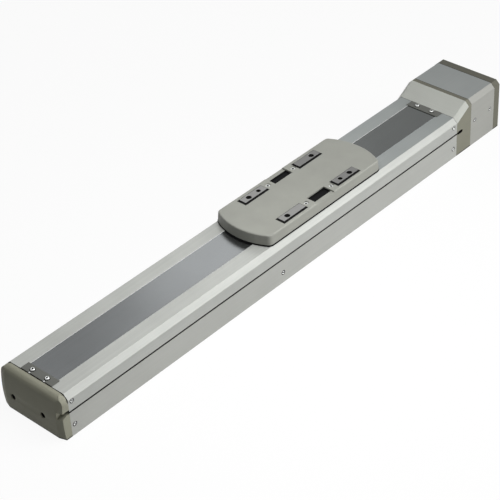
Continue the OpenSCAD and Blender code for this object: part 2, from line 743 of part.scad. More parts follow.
// An open stretch of belt from s0 to s1, both in the middle between two teeth
module belt_stretch(s0, s1, n, span, r) {
    polygon(concat(
        [loop_at(s0, 0, n, span, r)],
        teeth_line(ceil(s0 / pitch), floor(s1 / pitch), n, span, r),
        [loop_at(s1, 0, n, span, r)],
        back_line(s0, s1, n, span, r)
    ));
}
module belt_loop(n, span, r) {
    difference() {
        polygon([for (s = bend_stops(n, span)) loop_at(s, belt_back, n, span, r)]);
        polygon(teeth_line(0, round(loop_len(n, span) / pitch) - 1, n, span, r));
    }
}
// The groove of a pulley or a jaw that takes one tooth; y = 0 is the land
tooth_groove = [[-1.7, 0.5], [1.7, 0.5], [1.6, 0], [1.15, -1.45], [-1.15, -1.45], [-1.6, 0]];
// A toothed pulley's outline with a groove that is turned by phase from the top
module pulley_outline(n, r, phase) {
    difference() {
        circle(r, $fn = 96);
        for (i = [0:n - 1]) rotate(i * 360 / n + phase) translate([0, r])
            polygon(tooth_groove);
    }
}
// The phase of the pulley at x = 0, whose teeth depend on the length of the span
function far_phase(n, span) =
    let (steps = (2 * half_turn(n) + span) / pitch) (steps - floor(steps)) * 360 / n;

module main_pulley(phase) {
    translate([0, 0, axis_z]) {
        along_y(-pulley_w / 2, pulley_w / 2) pulley_outline(main_teeth, main_r, phase);
        mirrored() rod_y(2 * (main_r + flange_rise), pulley_w / 2, pulley_w / 2 + flange_t);
    }
}
module idler_pulley() {
    color([0.7, 0.71, 0.72]) translate([idler_x, 0, 0]) difference() {
        main_pulley(far_phase(main_teeth, main_span));
        translate([0, 0, axis_z]) {
            rod_y(shaft_d + 6, -20, 20);
            mirrored() rod_y(bearing_d, 3, 30);
        }
    }
}
module main_belt_part(s0, s1) {
    color([0.1, 0.1, 0.1]) translate([idler_x, 0, axis_z])
        along_y(-belt_w / 2, belt_w / 2) belt_stretch(s0, s1, main_teeth, main_span, main_r + belt_gap);
}
main_top = 2 * half_turn(main_teeth) + main_span;
near_cut = (floor(main_top / pitch) + 0.5) * pitch;
function on_grid(s) = (floor(s / pitch) + 0.5) * pitch;
near_end = on_grid(main_top + slider_x - jaw_x + jaw_len / 2 - idler_x - pitch);
far_end = on_grid(main_top + slider_x + jaw_x - jaw_len / 2 - idler_x + pitch);
loop_end = loop_len(main_teeth, main_span);
module main_belt() { main_belt_part(-pitch / 2, near_cut); }
module belt_run_near() { main_belt_part(near_cut, near_end); }
module belt_run_far() { main_belt_part(far_end, loop_end - pitch / 2); }

// ---------------------------------------------------------------- carriage

module at_mount_bolts() { at_corners(neck_len / 2 - 12, neck_w / 2 - 8) children(); }
module carriage_table() {
    low = floor_t + block_h;
    color([0.68, 0.69, 0.7]) at_slider() difference() {
        union() {
            slab(-table_len / 2, table_len / 2, table_w / 2, low, table_top);
            slab(-neck_len / 2, neck_len / 2, neck_w / 2, table_top - 1, slider_foot);
        }
        // the neck is hollow between its bolted ends
        slab(-neck_len / 2 + 24, neck_len / 2 - 24, neck_w / 2 - 6, table_top, slider_foot + 1);
        at_mount_bolts() translate([0, 0, slider_foot - 14]) cylinder(d = 5 + 2 * fit, h = 15);
    }
}
module mounting_table() {
    color([0.55, 0.55, 0.54]) at_slider() difference() {
        union() {
            slab(-mount_len / 2, mount_len / 2, mount_w / 2, slider_foot, mount_top);
            at_corners(pad_x, pad_y) pad_column();
            // posts of the cover screws
            at_corners(cover_screw_x / 2, pad_y) translate([0, 0, mount_top - 1])
                cylinder(d = 9, h = roof_z - mount_top + 1);
        }
        at_corners(cover_screw_x / 2, pad_y) translate([0, 0, slider_top - cover_recess])
            flat_screw_hole(cover_thread_d, cover_head_d, cover_screw_len);
        for (x = [-1, 1] * load_hole_x / 2, y = [-1, 1] * load_hole_y / 2) translate([x, y, 0]) {
            translate([0, 0, slider_foot - 1]) cylinder(d = load_hole_d, h = pad_top);
            translate([0, 0, pad_top - chamfer])
                cylinder(d1 = load_hole_d, d2 = load_hole_d + 2 * (chamfer + eps), h = chamfer + eps);
        }
        for (s = [-1, 1]) translate([s * dowel_hole_x / 2, -s * load_hole_y / 2, pad_top - 10])
            cylinder(d = dowel_hole_d, h = 11);
        at_mount_bolts() {
            translate([0, 0, slider_foot - 1]) cylinder(d = 5 + 2 * fit, h = 10);
            translate([0, 0, slider_foot + bolt_seat]) cylinder(d = 9.6, h = 10);
        }
    }
}
// One pad, with a chamfered top edge
module pad_column() {
    translate([-pad_len / 2, -pad_w / 2, mount_top - 1]) cube([pad_len, pad_w, pad_top - mount_top + 1]);
}
module belt_clamps() {
    low_top = belt_top_z - belt_gap / 2;
    color([0.5, 0.51, 0.52]) at_slider() for (s = [-1, 1]) {
        a = s * jaw_x - jaw_len / 2;
        b = s * jaw_x + jaw_len / 2;
        // lower jaw, with the belt's own teeth cut into it
        along_y(-belt_w / 2 - 6, belt_w / 2 + 6) difference() {
            translate([a, table_top]) square([jaw_len, low_top - table_top]);
            for (k = [floor((drive_x - slider_x - b) / pitch):ceil((drive_x - slider_x - a) / pitch)])
                translate([drive_x - slider_x - k * pitch, low_top])
                    polygon(tooth_groove);
        }
        // upper jaw with side feet that stand on the lower one
        difference() {
            slab(a, b, belt_w / 2 + 6, low_top, low_top + belt_back + 5);
            slab(a - 1, b + 1, belt_w / 2 + 0.4, low_top - 1, low_top + belt_back + 0.2);
        }
    }
}

// ---------------------------------------------------------------- slider cover

// A convex outline: straight sides, bowed ends and round corners, drawn in by d all round
function slider_outline(d) =
    let (
        half = slider_w / 2, r = slider_corner_r, arc_x = slider_len / 2 - slider_end_r,
        cx = arc_x + sqrt(pow(slider_end_r - r, 2) - pow(half - r, 2)),
        turn = atan2(half - r, cx - arc_x),
        corner = [for (i = [0:5]) let (a = 90 + (turn - 90) * i / 5)
            [cx + (r - d) * cos(a), half - r + (r - d) * sin(a)]],
        bow = [for (i = [1:5]) let (a = turn - turn * i / 5)
            [arc_x + (slider_end_r - d) * cos(a), (slider_end_r - d) * sin(a)]],
        quarter = concat(corner, bow)
    )
    concat(
        quarter,
        [for (i = [len(quarter) - 2:-1:0]) [quarter[i].x, -quarter[i].y]],
        [for (p = quarter) [-p.x, -p.y]],
        [for (i = [len(quarter) - 2:-1:0]) [-quarter[i].x, quarter[i].y]]
    );
module slider_form(inset, low, high, edge) {
    hull() {
        translate([0, 0, low]) linear_extrude(eps) polygon(slider_outline(inset));
        for (a = [0:22.5:90])
            translate([0, 0, high - edge + (edge - eps) * sin(a)]) linear_extrude(eps)
                polygon(slider_outline(inset + slider_draft + edge * (1 - cos(a))));
    }
}
module slider_cover() {
    channel = slider_top - port_channel;
    color([0.62, 0.62, 0.58]) at_slider() difference() {
        slider_form(0, slider_foot, slider_top, slider_edge_r);
        slider_form(slider_wall, slider_foot - 1, roof_z, 0.5);
        at_corners(pad_x, pad_y) translate([-pad_len / 2 - pad_gap, -pad_w / 2 - pad_gap, slider_foot])
            cube([pad_len + 2 * pad_gap, pad_w + 2 * pad_gap, slider_h + 5]);
        mirrored() {
            translate([0, port_y, 0])
                slab(-port_len / 2, port_len / 2, port_w / 2, slider_foot + 4, pad_top + 5);
            block([-port_len / 2, port_y, channel], [port_len / 2, slider_w, pad_top + 5]);
        }
        at_corners(cover_screw_x / 2, pad_y) translate([0, 0, slider_top - cover_recess]) {
            cylinder(d = cover_recess_d, h = cover_recess + 1);
            flat_screw_hole(cover_thread_d, cover_head_d, 8);
        }
    }
}
module cover_screws() {
    color([0.8, 0.8, 0.8]) at_slider() at_corners(cover_screw_x / 2, pad_y)
        translate([0, 0, slider_top - cover_recess])
            flat_screw(cover_thread_d, cover_head_d, cover_screw_len);
}
liner_t = 1.2;
module port_liners() {
    half = port_len / 2;
    color([0.04, 0.04, 0.04]) at_slider() mirrored() translate([0, port_y, 0]) difference() {
        union() {
            slab(0.1 - half, half - 0.1, port_w / 2 - 0.1, roof_z - 1, slider_top - port_channel);
            slab(-half - 2, half + 2, port_w / 2 + 1.5, roof_z - liner_t, roof_z);
        }
        slab(liner_t - half, half - liner_t, port_w / 2 - liner_t, roof_z, slider_top);
    }
}

// ---------------------------------------------------------------- strip rollers

roller_half = strip_w / 2 - 0.5;
cheek_top = roof_z - 1.6;
roller_pin_d = 4;
press_z = body_h + fit + press_roller_r;
lift_z = rest_z - fit - lift_roller_r;
module roller_holder() {
    difference() {
        union() {
            mirrored() block(
                [mount_len / 2, cheek_y, slider_foot + 0.6],
                [press_roller_x + 3.4, cheek_y + cheek_t, cheek_top]
            );
            slab(lift_roller_x + 8, lift_roller_x + 18, cheek_y + 1, rest_z + 2.4, cheek_top);
        }
        translate([press_roller_x, 0, press_z]) rod_y(roller_pin_d + 2 * fit, -50, 50);
        translate([lift_roller_x, 0, lift_z]) rod_y(roller_pin_d + 2 * fit, -50, 50);
    }
}
module roller_holders() {
    color([0.2, 0.2, 0.2]) at_slider() { roller_holder(); mirror([1, 0, 0]) roller_holder(); }
}
module roller(r) {
    rod_y(2 * r, -roller_half, roller_half);
    rod_y(roller_pin_d, -cheek_y - cheek_t + 0.4, cheek_y + cheek_t - 0.4);
}
module press_roller(side) {
    color([0.8, 0.8, 0.76]) at_slider() translate([side * press_roller_x, 0, press_z]) roller(press_roller_r);
}
module lift_roller(side) {
    color([0.8, 0.8, 0.76]) at_slider() translate([side * lift_roller_x, 0, lift_z]) roller(lift_roller_r);
}
module press_roller_near() { press_roller(-1); }
module press_roller_far() { press_roller(1); }
module lift_roller_near() { lift_roller(-1); }
module lift_roller_far() { lift_roller(1); }

// ---------------------------------------------------------------- drive end

// The body's section and that of the housing's rear and the motor cover
module bevelled(w, h, b) {
    polygon([[-w / 2, 0], [w / 2, 0], [w / 2, h - b], [w / 2 - b, h], [b - w / 2, h], [-w / 2, h - b]]);
}
// The housing's outside, or lowered by drop and wider by out on each side
module housing_form(drop, out) {
    w = body_w + 2 * out;
    hull() {
        along_x(body_len, body_len + eps) bevelled(w, body_h - drop, body_bevel + out);
        along_x(slope_end, housing_end) bevelled(w, drive_h - drop, drive_bevel + out);
    }
}
// What lies in front of the band, within the sheet's thickness of the slope
module slope_sheet() {
    drop = slope_sheet_t / cos(atan(drive_rise / slope_len));
    intersection() {
        housing_form(0, 0);
        difference() {
            slab(body_len, slope_end, body_w, body_h - 2 * body_bevel, drive_h + 1);
            housing_form(drop, 1);
        }
    }
}
module slope_cover() { color([0.7, 0.71, 0.7]) slope_sheet(); }
bay_end = drive_x + main_r + flange_rise + 0.6;
nut_slot_depth = 5.5;
nut_slot_x = body_len + 10;
wheel_bay = [side_belt_y - motor_belt_w / 2 - 4, side_belt_y + motor_belt_w / 2 + 3.5];
ear_t = 5;
ear_y = half_w - motor_cover_t;
module at_drive() { translate([drive_x, 0, axis_z]) children(); }
module at_motor() { translate([motor_x, 0, motor_z]) children(); }
module ear(a, b) {
    mirrored() block([a, ear_y - ear_t, cover_screw_z - 7], [b, ear_y, cover_screw_z + 7]);
}
cover_screw_places = [housing_end + cover_screw_in, cover_end - cover_screw_in];
module at_cover_screws() {
    mirrored() for (x = cover_screw_places)
        translate([x, half_w, cover_screw_z]) rotate([-90, 0, 0]) children();
}
module nut_slot() {
    a = nut_slot_x - (nut_slot_len - nut_slot_h) / 2;
    b = nut_slot_x + (nut_slot_len - nut_slot_h) / 2;
    y = half_w - nut_slot_depth;
    for (x = [a, b]) translate([x, 0, groove_z]) rod_y(nut_slot_h, y, half_w + 1);
    block([a, y, groove_z - nut_slot_h / 2], [b, half_w + 1, groove_z + nut_slot_h / 2]);
    block([body_len - 1, y, groove_foot], [a, half_w + 1, groove_top]);
}
module drive_housing() {
    bay_r = side_r + 5;
    color([0.56, 0.56, 0.5]) difference() {
        union() {
            housing_form(0, 0);
            // tongue under the strip's end
            slab(body_len - clamp_len - 5, body_len + 1, ledge_y - run, belt_top_z + 11, strip_low);
            ear(housing_end - 1, housing_end + cover_screw_in + 6);
        }
        // bay of the drive pulley, open to the base
        slab(body_len - 1, bay_end, bearing_y, floor_t, belt_top_z + 6);
        at_drive() {
            rod_y(bearing_d, -bearing_y - bearing_w, bearing_y + bearing_w);
            rod_y(bearing_d - 6, -shaft_right - 2, wheel_bay[0] + 1);
        }
        // bay of the driven wheel, open to the motor
        along_y(wheel_bay[0], wheel_bay[1]) {
            translate([drive_x, axis_z]) circle(bay_r);
            translate([drive_x, axis_z - bay_r]) square([housing_end - drive_x + 1, 2 * bay_r + motor_rise]);
        }
        mirrored() nut_slot();
        slope_sheet();
        at_far_end() clamp_screw_bores();
        at_cover_screws() flat_screw_hole(small_screw_d, small_head_d, ear_t + 2);
    }
}
module drive_bearings() {
    color([0.75, 0.75, 0.75]) at_drive() mirrored() ball_bearing(bearing_y, bearing_y + bearing_w);
}
module drive_shaft() { color([0.7, 0.7, 0.7]) at_drive() rod_y(shaft_d, -shaft_right, shaft_left); }
module drive_pulley() {
    color([0.7, 0.71, 0.72]) translate([drive_x, 0, 0]) difference() {
        main_pulley(0);
        translate([0, 0, axis_z]) rod_y(shaft_d + 0.04, -20, 20);
    }
}
module side_pulley(phase, bore) {
    difference() {
        union() {
            along_y(side_belt_y - wheel_w / 2, side_belt_y + wheel_w / 2) rotate(phase)
                pulley_outline(side_teeth, side_r, 0);
            for (y = [side_belt_y - wheel_w / 2 - 1, side_belt_y + wheel_w / 2])
                rod_y(2 * side_r + 4, y, y + 1);
        }
        rod_y(bore + 0.04, side_belt_y - 10, side_belt_y + 10);
    }
}
module driven_wheel() {
    color([0.7, 0.71, 0.72]) at_drive()
        side_pulley(motor_turn + far_phase(side_teeth, motor_span), shaft_d);
}
module motor_pulley() {
    color([0.7, 0.71, 0.72]) at_motor() side_pulley(motor_turn, motor_shaft_d);
}
module motor_belt() {
    color([0.1, 0.1, 0.1]) at_drive() along_y(side_belt_y - motor_belt_w / 2, side_belt_y + motor_belt_w / 2)
        rotate(motor_turn) belt_loop(side_teeth, motor_span, side_r + belt_gap);
}
motor_hole = motor_w * 0.413;      // the motor's screws lie this far from its axis in X and Z
pilot_d = motor_w * 0.83;
module at_motor_screws() {
    at_motor() for (x = [-motor_hole, motor_hole], z = [-motor_hole, motor_hole])
        translate([x, bracket_y + bracket_t - 4.4, z]) rotate([-90, 0, 0]) children();
}
module motor_tray() {
    color([0.6, 0.61, 0.61]) difference() {
        slab(housing_end, cover_end, ear_y, 0, tray_t);
        for (y = plate_screw_places) translate([0, y, tray_t / 2])
            rod_x(4 + 2 * fit, cover_end - 14, cover_end + 1);
    }
}
module motor_bracket() {
    a = housing_end + 4;
    b = cover_end - 4;
    color([0.6, 0.61, 0.61]) difference() {
        union() {
            block([a, bracket_y, tray_t], [b, bracket_y + bracket_t, motor_z + motor_w / 2]);
            block([a, 0, tray_t], [b, bracket_y + 1, motor_z - motor_w / 2 - 0.5]);
        }
        at_motor() rod_y(pilot_d + 2 * fit, bracket_y - 0.5, bracket_y + bracket_t + 1);
        at_motor_screws() {
            translate([0, 0, -10]) cylinder(d = 5 + 2 * fit, h = 12);
            cylinder(d = 9, h = 6);
        }
    }
}
module motor_screws() {
    color([0.25, 0.25, 0.25]) at_motor_screws() socket_screw(5, 10);
}
module servo_motor() {
    rear = bracket_y - motor_len;
    body = motor_w - 2;
    color([0.15, 0.15, 0.16]) difference() {
        at_motor() {
            along_y(rear, bracket_y - 7) intersection() {
                square(body, center = true);
                rotate(45) square(body * 1.26, center = true);
            }
            along_y(bracket_y - 7, bracket_y) square(motor_w, center = true);
            rod_y(pilot_d, bracket_y - 1, bracket_y + 3);
        }
        at_motor() rod_y(motor_shaft_d + 2 * fit, bracket_y - 13, bracket_y + 4);
        at_motor_screws() translate([0, 0, -12]) cylinder(d = 5 + 2 * fit, h = 12);
    }
}
module motor_encoder() {
    rear = bracket_y - motor_len;
    color([0.08, 0.08, 0.08]) at_motor() difference() {
        along_y(rear - 20, rear) square(motor_w - 8, center = true);
        translate([0, 0, motor_w / 2 - 4]) along_y(rear - 14, rear - 4) square([22, 6], center = true);
    }
}
module motor_shaft() {
    color([0.75, 0.75, 0.75]) at_motor()
        rod_y(motor_shaft_d, bracket_y - 12.5, side_belt_y + wheel_w / 2 + 1.2);
}
module motor_cover() {
    t = motor_cover_t;
    inner = half_w + drive_h - drive_bevel - t * sqrt(2);    // y + z along the inner bevel
    color([0.66, 0.68, 0.69]) difference() {
        along_x(housing_end, cover_end) difference() {
            bevelled(body_w, drive_h, drive_bevel);
            polygon(both_halves([
                [0, -1], [ear_y, -1], [ear_y, inner - ear_y],
                [inner - drive_h + t, drive_h - t], [0, drive_h - t]
            ]));
        }
        at_cover_screws() flat_screw_hole(small_screw_d, small_head_d, ear_t + 2);
    }
}
module motor_cover_screws() {
    color([0.6, 0.6, 0.6]) at_cover_screws() flat_screw(small_screw_d, small_head_d, ear_t + 2);
}
plate_screw_places = [-45, 45];
plug_y = -28;
plug_z = 30;
plug_d = 20;
module end_plate() {
    color([0.36, 0.36, 0.31]) difference() {
        union() {
            along_x(cover_end, plate_end) bevelled(body_w, drive_h, plate_bevel);
            ear(cover_end - cover_screw_in - 6, cover_end + 1);
        }
        at_cover_screws() flat_screw_hole(small_screw_d, small_head_d, ear_t + 2);
        translate([0, plug_y, plug_z]) rod_x(plug_d - 4 + 2 * fit, cover_end - 1, plate_end + 1);
        translate([0, plug_y, plug_z]) rod_x(plug_d + 2 * fit, plate_end - 3, plate_end + 1);
        for (y = plate_screw_places) translate([0, y, tray_t / 2]) {
            rod_x(4 + 2 * fit, cover_end - 1, plate_end + 1);
            rod_x(7.6, plate_end - 5, plate_end + 1);
        }
    }
}
module end_plate_screws() {
    color([0.25, 0.25, 0.25]) for (y = plate_screw_places)
        translate([plate_end - 5, y, tray_t / 2]) rotate([0, 90, 0]) socket_screw(4, plate_t - 5 + 10);
}
module cable_plug() {
    color([0.06, 0.06, 0.06]) translate([0, plug_y, plug_z]) difference() {
        union() {
            rod_x(plug_d - 4, cover_end, plate_end - 2);
            rod_x(plug_d, plate_end - 3, plate_end);
        }
        translate([plate_end - 2, 0, 0]) rotate([0, 90, 0]) cylinder(d = 9, h = 3, $fn = 6);
    }
}
module table_bolts() {
    color([0.25, 0.25, 0.25]) at_slider() at_mount_bolts()
        translate([0, 0, slider_foot + bolt_seat]) socket_screw(5, 14);
}

place() base_frame();
place() side_cover_left();
place() side_cover_right();
place() top_cover_left();
place() top_cover_right();
place() side_screws();
place() end_cap();
place() cap_screws();
place() idler_block();
place() idler_fork();
place() tension_screws();
place() idler_axle();
place() idler_pulley();
place() idler_bearings();
place() guide_rails();
place() rail_screws();
place() end_stops();
place() seal_strip();
place() magnet_strips();
place() strip_clamp_near();
place() strip_clamp_far();
place() strip_clamp_screws();
place() drive_housing();
place() slope_cover();
place() drive_bearings();
place() drive_shaft();
place() drive_pulley();
place() driven_wheel();
place() motor_tray();
place() motor_bracket();
place() motor_screws();
place() servo_motor();
place() motor_encoder();
place() motor_shaft();
place() motor_pulley();
place() motor_belt();
place() motor_cover();
place() motor_cover_screws();
place() end_plate();
place() end_plate_screws();
place() cable_plug();
place() main_belt();
place() belt_run_near();
place() belt_run_far();
place() carriage_table();
place() guide_blocks();
place() block_seals();
place() belt_clamps();
place() mounting_table();
place() table_bolts();
place() slider_cover();
place() cover_screws();
place() port_liners();
place() roller_holders();
place() press_roller_near();
place() press_roller_far();
place() lift_roller_near();
place() lift_roller_far();
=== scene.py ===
"""Looks of the belt driven linear axis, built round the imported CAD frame. Lengths are in metres."""
import json
import math

import bmesh
import bpy
from mathutils import Matrix, Vector


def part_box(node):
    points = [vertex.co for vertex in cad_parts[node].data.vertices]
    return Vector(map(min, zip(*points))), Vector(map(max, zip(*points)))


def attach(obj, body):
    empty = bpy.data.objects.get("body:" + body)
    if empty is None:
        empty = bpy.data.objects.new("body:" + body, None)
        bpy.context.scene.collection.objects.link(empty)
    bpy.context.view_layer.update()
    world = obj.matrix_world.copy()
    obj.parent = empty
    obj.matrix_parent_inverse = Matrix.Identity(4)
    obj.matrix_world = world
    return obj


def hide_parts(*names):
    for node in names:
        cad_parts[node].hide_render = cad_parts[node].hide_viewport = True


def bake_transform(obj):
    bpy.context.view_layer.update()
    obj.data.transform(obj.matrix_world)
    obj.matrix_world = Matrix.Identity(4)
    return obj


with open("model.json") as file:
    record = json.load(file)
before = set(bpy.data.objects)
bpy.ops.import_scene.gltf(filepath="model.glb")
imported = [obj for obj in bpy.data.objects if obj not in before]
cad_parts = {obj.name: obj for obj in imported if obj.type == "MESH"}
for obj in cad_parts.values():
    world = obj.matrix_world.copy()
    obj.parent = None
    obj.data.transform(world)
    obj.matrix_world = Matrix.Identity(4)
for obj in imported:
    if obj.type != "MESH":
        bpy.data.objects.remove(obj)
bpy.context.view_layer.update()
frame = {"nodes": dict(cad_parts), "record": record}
nodes = frame["nodes"]

MM = 0.001
START_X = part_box("base_frame")[0].x     # the joint between the end cap and the body
SKY = 0.12                              # how much light the world gives, where 1 is white
BOUNCE = 0.4                            # how much of its light the floor gives back to the object
FLOOR_GLOW = 0.93                       # how much of the floor that the camera sees is plain white
WIDTH = 135                             # the body's width in millimetres
CORNER = 0.08                           # the bevel along the strip's edges in millimetres

# Nodes that have their own tone of the finish that their slot names. The housing's and the end plate's tones are
# darker copies of the cast paint, painted shade at the drive end.
TONES = {"motor_cover": "cover_aluminium", "slope_cover": "slope_aluminium",
         "drive_housing": "housing_shaded_paint", "end_plate": "plate_shaded_paint"}


# ---------------------------------------------------------------- camera

def make_camera():
    """The photo's view: the angles, the lens and the place were fitted to the body's edges in it."""
    azimuth, elevation, roll = (math.radians(a) for a in (-46.29, 36.381, -3.237))
    back = Vector((math.sin(azimuth) * math.cos(elevation),
                   -math.cos(azimuth) * math.cos(elevation), math.sin(elevation)))
    level = Vector((math.cos(azimuth), math.sin(azimuth), 0))
    above = back.cross(level)
    right = level * math.cos(roll) + above * math.sin(roll)
    up = above * math.cos(roll) - level * math.sin(roll)
    data = bpy.data.cameras.new("camera")
    data.sensor_width = 36
    data.lens = 120.95
    data.clip_end = 50
    camera = bpy.data.objects.new("camera", data)
    turn = Matrix((right, up, back)).transposed().to_4x4()
    camera.matrix_world = Matrix.Translation((START_X - 1.1469, -1.5487, 1.6893)) @ turn
    bpy.context.scene.collection.objects.link(camera)
    bpy.context.scene.camera = camera


# ---------------------------------------------------------------- node helpers

class Nodes:
    """A material's node tree, with short ways to add nodes and links."""

    def __init__(self, name):
        self.material = bpy.data.materials.new(name)
        self.material.use_nodes = True
        self.tree = self.material.node_tree
        self.shader = self.tree.nodes["Principled BSDF"]

    def add(self, kind, **values):
        node = self.tree.nodes.new(kind)
        for key, value in values.items():
            setattr(node, key, value)
        return node

    def link(self, out, socket):
        self.tree.links.new(out, socket)

    def calc(self, operation, *values):
        """A Math node, whose values are sockets or numbers."""
        node = self.add("ShaderNodeMath", operation=operation)
        for socket, value in zip(node.inputs, values):
            if isinstance(value, (int, float)):
                socket.default_value = value
            else:
                self.link(value, socket)
        return node.outputs[0]

    def split(self, vector):
        """The X, Y and Z of a vector, by name."""
        node = self.add("ShaderNodeSeparateXYZ")
        self.link(vector, node.inputs[0])
        return node.outputs

    def facing(self):
        """The X, Y and Z of the direction that the surface faces, on the object at rest."""
        return self.split(self.add("ShaderNodeTexCoord").outputs["Normal"])

    def coordinates(self, scale=(1, 1, 1)):
        place = self.add("ShaderNodeTexCoord")
        mapping = self.add("ShaderNodeMapping")
        mapping.inputs["Scale"].default_value = scale
        self.link(place.outputs["Object"], mapping.inputs["Vector"])
        return mapping.outputs["Vector"]

    def noise(self, scale, stretch=(1, 1, 1), detail=2.0, rough=0.5):
        node = self.add("ShaderNodeTexNoise")
        node.inputs["Scale"].default_value = scale
        node.inputs["Detail"].default_value = detail
        node.inputs["Roughness"].default_value = rough
        self.link(self.coordinates(stretch), node.inputs["Vector"])
        return node.outputs["Fac"]

    def remap(self, value, low, high, to_low, to_high):
        node = self.add("ShaderNodeMapRange")
        for key, number in zip(("From Min", "From Max", "To Min", "To Max"), (low, high, to_low, to_high)):
            node.inputs[key].default_value = number
        self.link(value, node.inputs["Value"])
        return node.outputs["Result"]

    def tint(self, factor, dark, light):
        """A tone between two colours."""
        node = self.add("ShaderNodeMix", data_type="RGBA")
        node.inputs["A"].default_value = (*dark, 1)
        node.inputs["B"].default_value = (*light, 1)
        self.link(factor, node.inputs["Factor"])
        return node.outputs["Result"]

    def mix(self, factor, tone, other):
        """A tone, painted over with another colour."""
        node = self.add("ShaderNodeMix", data_type="RGBA")
        node.inputs["B"].default_value = (*other, 1)
        self.link(tone, node.inputs["A"])
        self.link(factor, node.inputs["Factor"])
        return node.outputs["Result"]

    def nearest(self, value, places):
        """The distance of a coordinate from the nearest of the places."""
        best = None
        for place in places:
            away = self.calc("ABSOLUTE", self.calc("SUBTRACT", value, place))
            best = away if best is None else self.calc("MINIMUM", best, away)
        return best

    def spots(self, along, up, radius):
        """A mask of dark discs with soft rims, which paints shadow round screw heads. Their places along X and up
        Z are given.
        """
        place = self.split(self.coordinates())
        flat = self.add("ShaderNodeCombineXYZ")
        self.link(self.nearest(place["X"], along), flat.inputs["X"])
        self.link(self.nearest(place["Z"], up), flat.inputs["Y"])
        reach = self.add("ShaderNodeVectorMath", operation="LENGTH")
        self.link(flat.outputs[0], reach.inputs[0])
        return self.remap(reach.outputs["Value"], radius, radius + 0.3 * MM, 1, 0)

    def wear(self, radius, scale, amount):
        """A patchy mask of the edges, which is amount at most."""
        bevel = self.add("ShaderNodeBevel", samples=4)
        bevel.inputs["Radius"].default_value = radius
        place = self.add("ShaderNodeNewGeometry")
        dot = self.add("ShaderNodeVectorMath", operation="DOT_PRODUCT")
        self.link(bevel.outputs["Normal"], dot.inputs[0])
        self.link(place.outputs["Normal"], dot.inputs[1])
        edge = self.remap(dot.outputs["Value"], 0.98, 0.8, 0, amount)
        return self.calc("MULTIPLY", edge, self.remap(self.noise(scale), 0.35, 0.6, 0.2, 1))

    def bump(self, height, strength, distance):
        node = self.add("ShaderNodeBump")
        node.inputs["Strength"].default_value = strength
        node.inputs["Distance"].default_value = distance
        self.link(height, node.inputs["Height"])
        return node.outputs["Normal"]

    def finish(self, tone, roughness, bump, metallic, specular):
        """Puts the tone, the roughness and the bump on the shader, with two numbers that are even all over."""
        self.link(tone, self.shader.inputs["Base Color"])
        self.link(roughness, self.shader.inputs["Roughness"])
        self.shader.inputs["Metallic"].default_value = metallic
        self.shader.inputs["Specular IOR Level"].default_value = specular
        self.link(bump, self.shader.inputs["Normal"])
        return self.material


def shade(colour, amount):
    return tuple(max(0.0, min(1.0, c * amount)) for c in colour)


def drawn_metal(name, colour, metallic, roughness, vary=0.06, line=0.03, axis=0, worn=0.25, specular=0.5,
                painted_top_shade=None, spots=None):
    """Extruded, anodised or rolled metal: fine lines along one axis, a faint cloudy tone and worn edges.

    fade is (start, full, amount, colour) and paints shade: what faces up is painted over from start to full, which
    are distances from START_X. spots is what Nodes.spots takes, and gives painted shadow rings round the screw
    heads."""
    n = Nodes(name)
    stretch = [380, 380, 380]
    stretch[axis] = 3
    lines = n.noise(1, stretch, 4, 0.6)
    cloud = n.noise(14, detail=3)
    both = n.calc("ADD", n.remap(lines, 0.3, 0.7, -0.5, 0.5), n.remap(cloud, 0.3, 0.7, -0.5, 0.5))
    tone = n.tint(n.remap(both, -1, 1, 0, 1), shade(colour, 1 - vary), shade(colour, 1 + vary))
    # Painted shade: faces that look up are painted darker, or tinted, from start to full along X.
    if painted_top_shade:
        start, full, amount, other = painted_top_shade
        along = n.remap(n.split(n.coordinates())["X"], START_X + start, START_X + full, 0, 1)
        tone = n.mix(n.calc("MULTIPLY", along, n.remap(n.facing()["Z"], 0.8, 0.95, 0, amount)), tone, other)
    if worn:
        tone = n.mix(n.wear(0.5 * MM, 240, worn), tone, shade(colour, 1.9))
    # Painted shadow: dark rings round the screw heads.
    if spots:
        tone = n.mix(n.spots(*spots), tone, (0.006, 0.006, 0.006))
    rough = n.remap(lines, 0.3, 0.7, roughness - line, roughness + line)
    return n.finish(tone, rough, n.bump(lines, 0.08, 0.2 * MM), metallic, specular)


def moulded(name, colour, roughness, grain=1400, vary=0.05, specular=0.5, worn=0.0, foot_shadow=0.0, dim=None):
    """Moulded plastic or powder paint: a fine grain, a faint cloudy tone, worn edges, and painted shade on the
    foot and on some faces.

    grime is the height in millimetres up to which the foot is painted black, a painted contact shadow. dim is
    (axis, amount) and darkens the faces that look along an axis: painted shade."""
    n = Nodes(name)
    fine = n.noise(grain)
    cloud = n.noise(22, detail=3)
    tone = n.tint(n.remap(cloud, 0.3, 0.7, 0, 1), shade(colour, 1 - vary), shade(colour, 1 + vary))
    # Painted shade: faces that look along the axis are darker.
    if dim:
        axis, amount = dim
        tone = n.mix(n.remap(n.calc("ABSOLUTE", n.facing()[axis]), 0.5, 0.9, 0, amount), tone, (0, 0, 0))
    if worn:
        tone = n.mix(n.wear(0.8 * MM, 160, worn), tone, shade(colour, 1.8))
    # Painted contact shadow: the foot is black up to the given height, fading out over 1.4 mm more.
    if foot_shadow:
        foot = n.remap(n.split(n.coordinates())["Z"], foot_shadow * MM, (foot_shadow + 1.4) * MM, 1, 0)
        tone = n.mix(foot, tone, (0.004, 0.004, 0.003))
    rough = n.remap(fine, 0.3, 0.7, roughness - 0.05, roughness + 0.05)
    return n.finish(tone, rough, n.bump(fine, 0.3, 0.06 * MM), 0.0, specular)


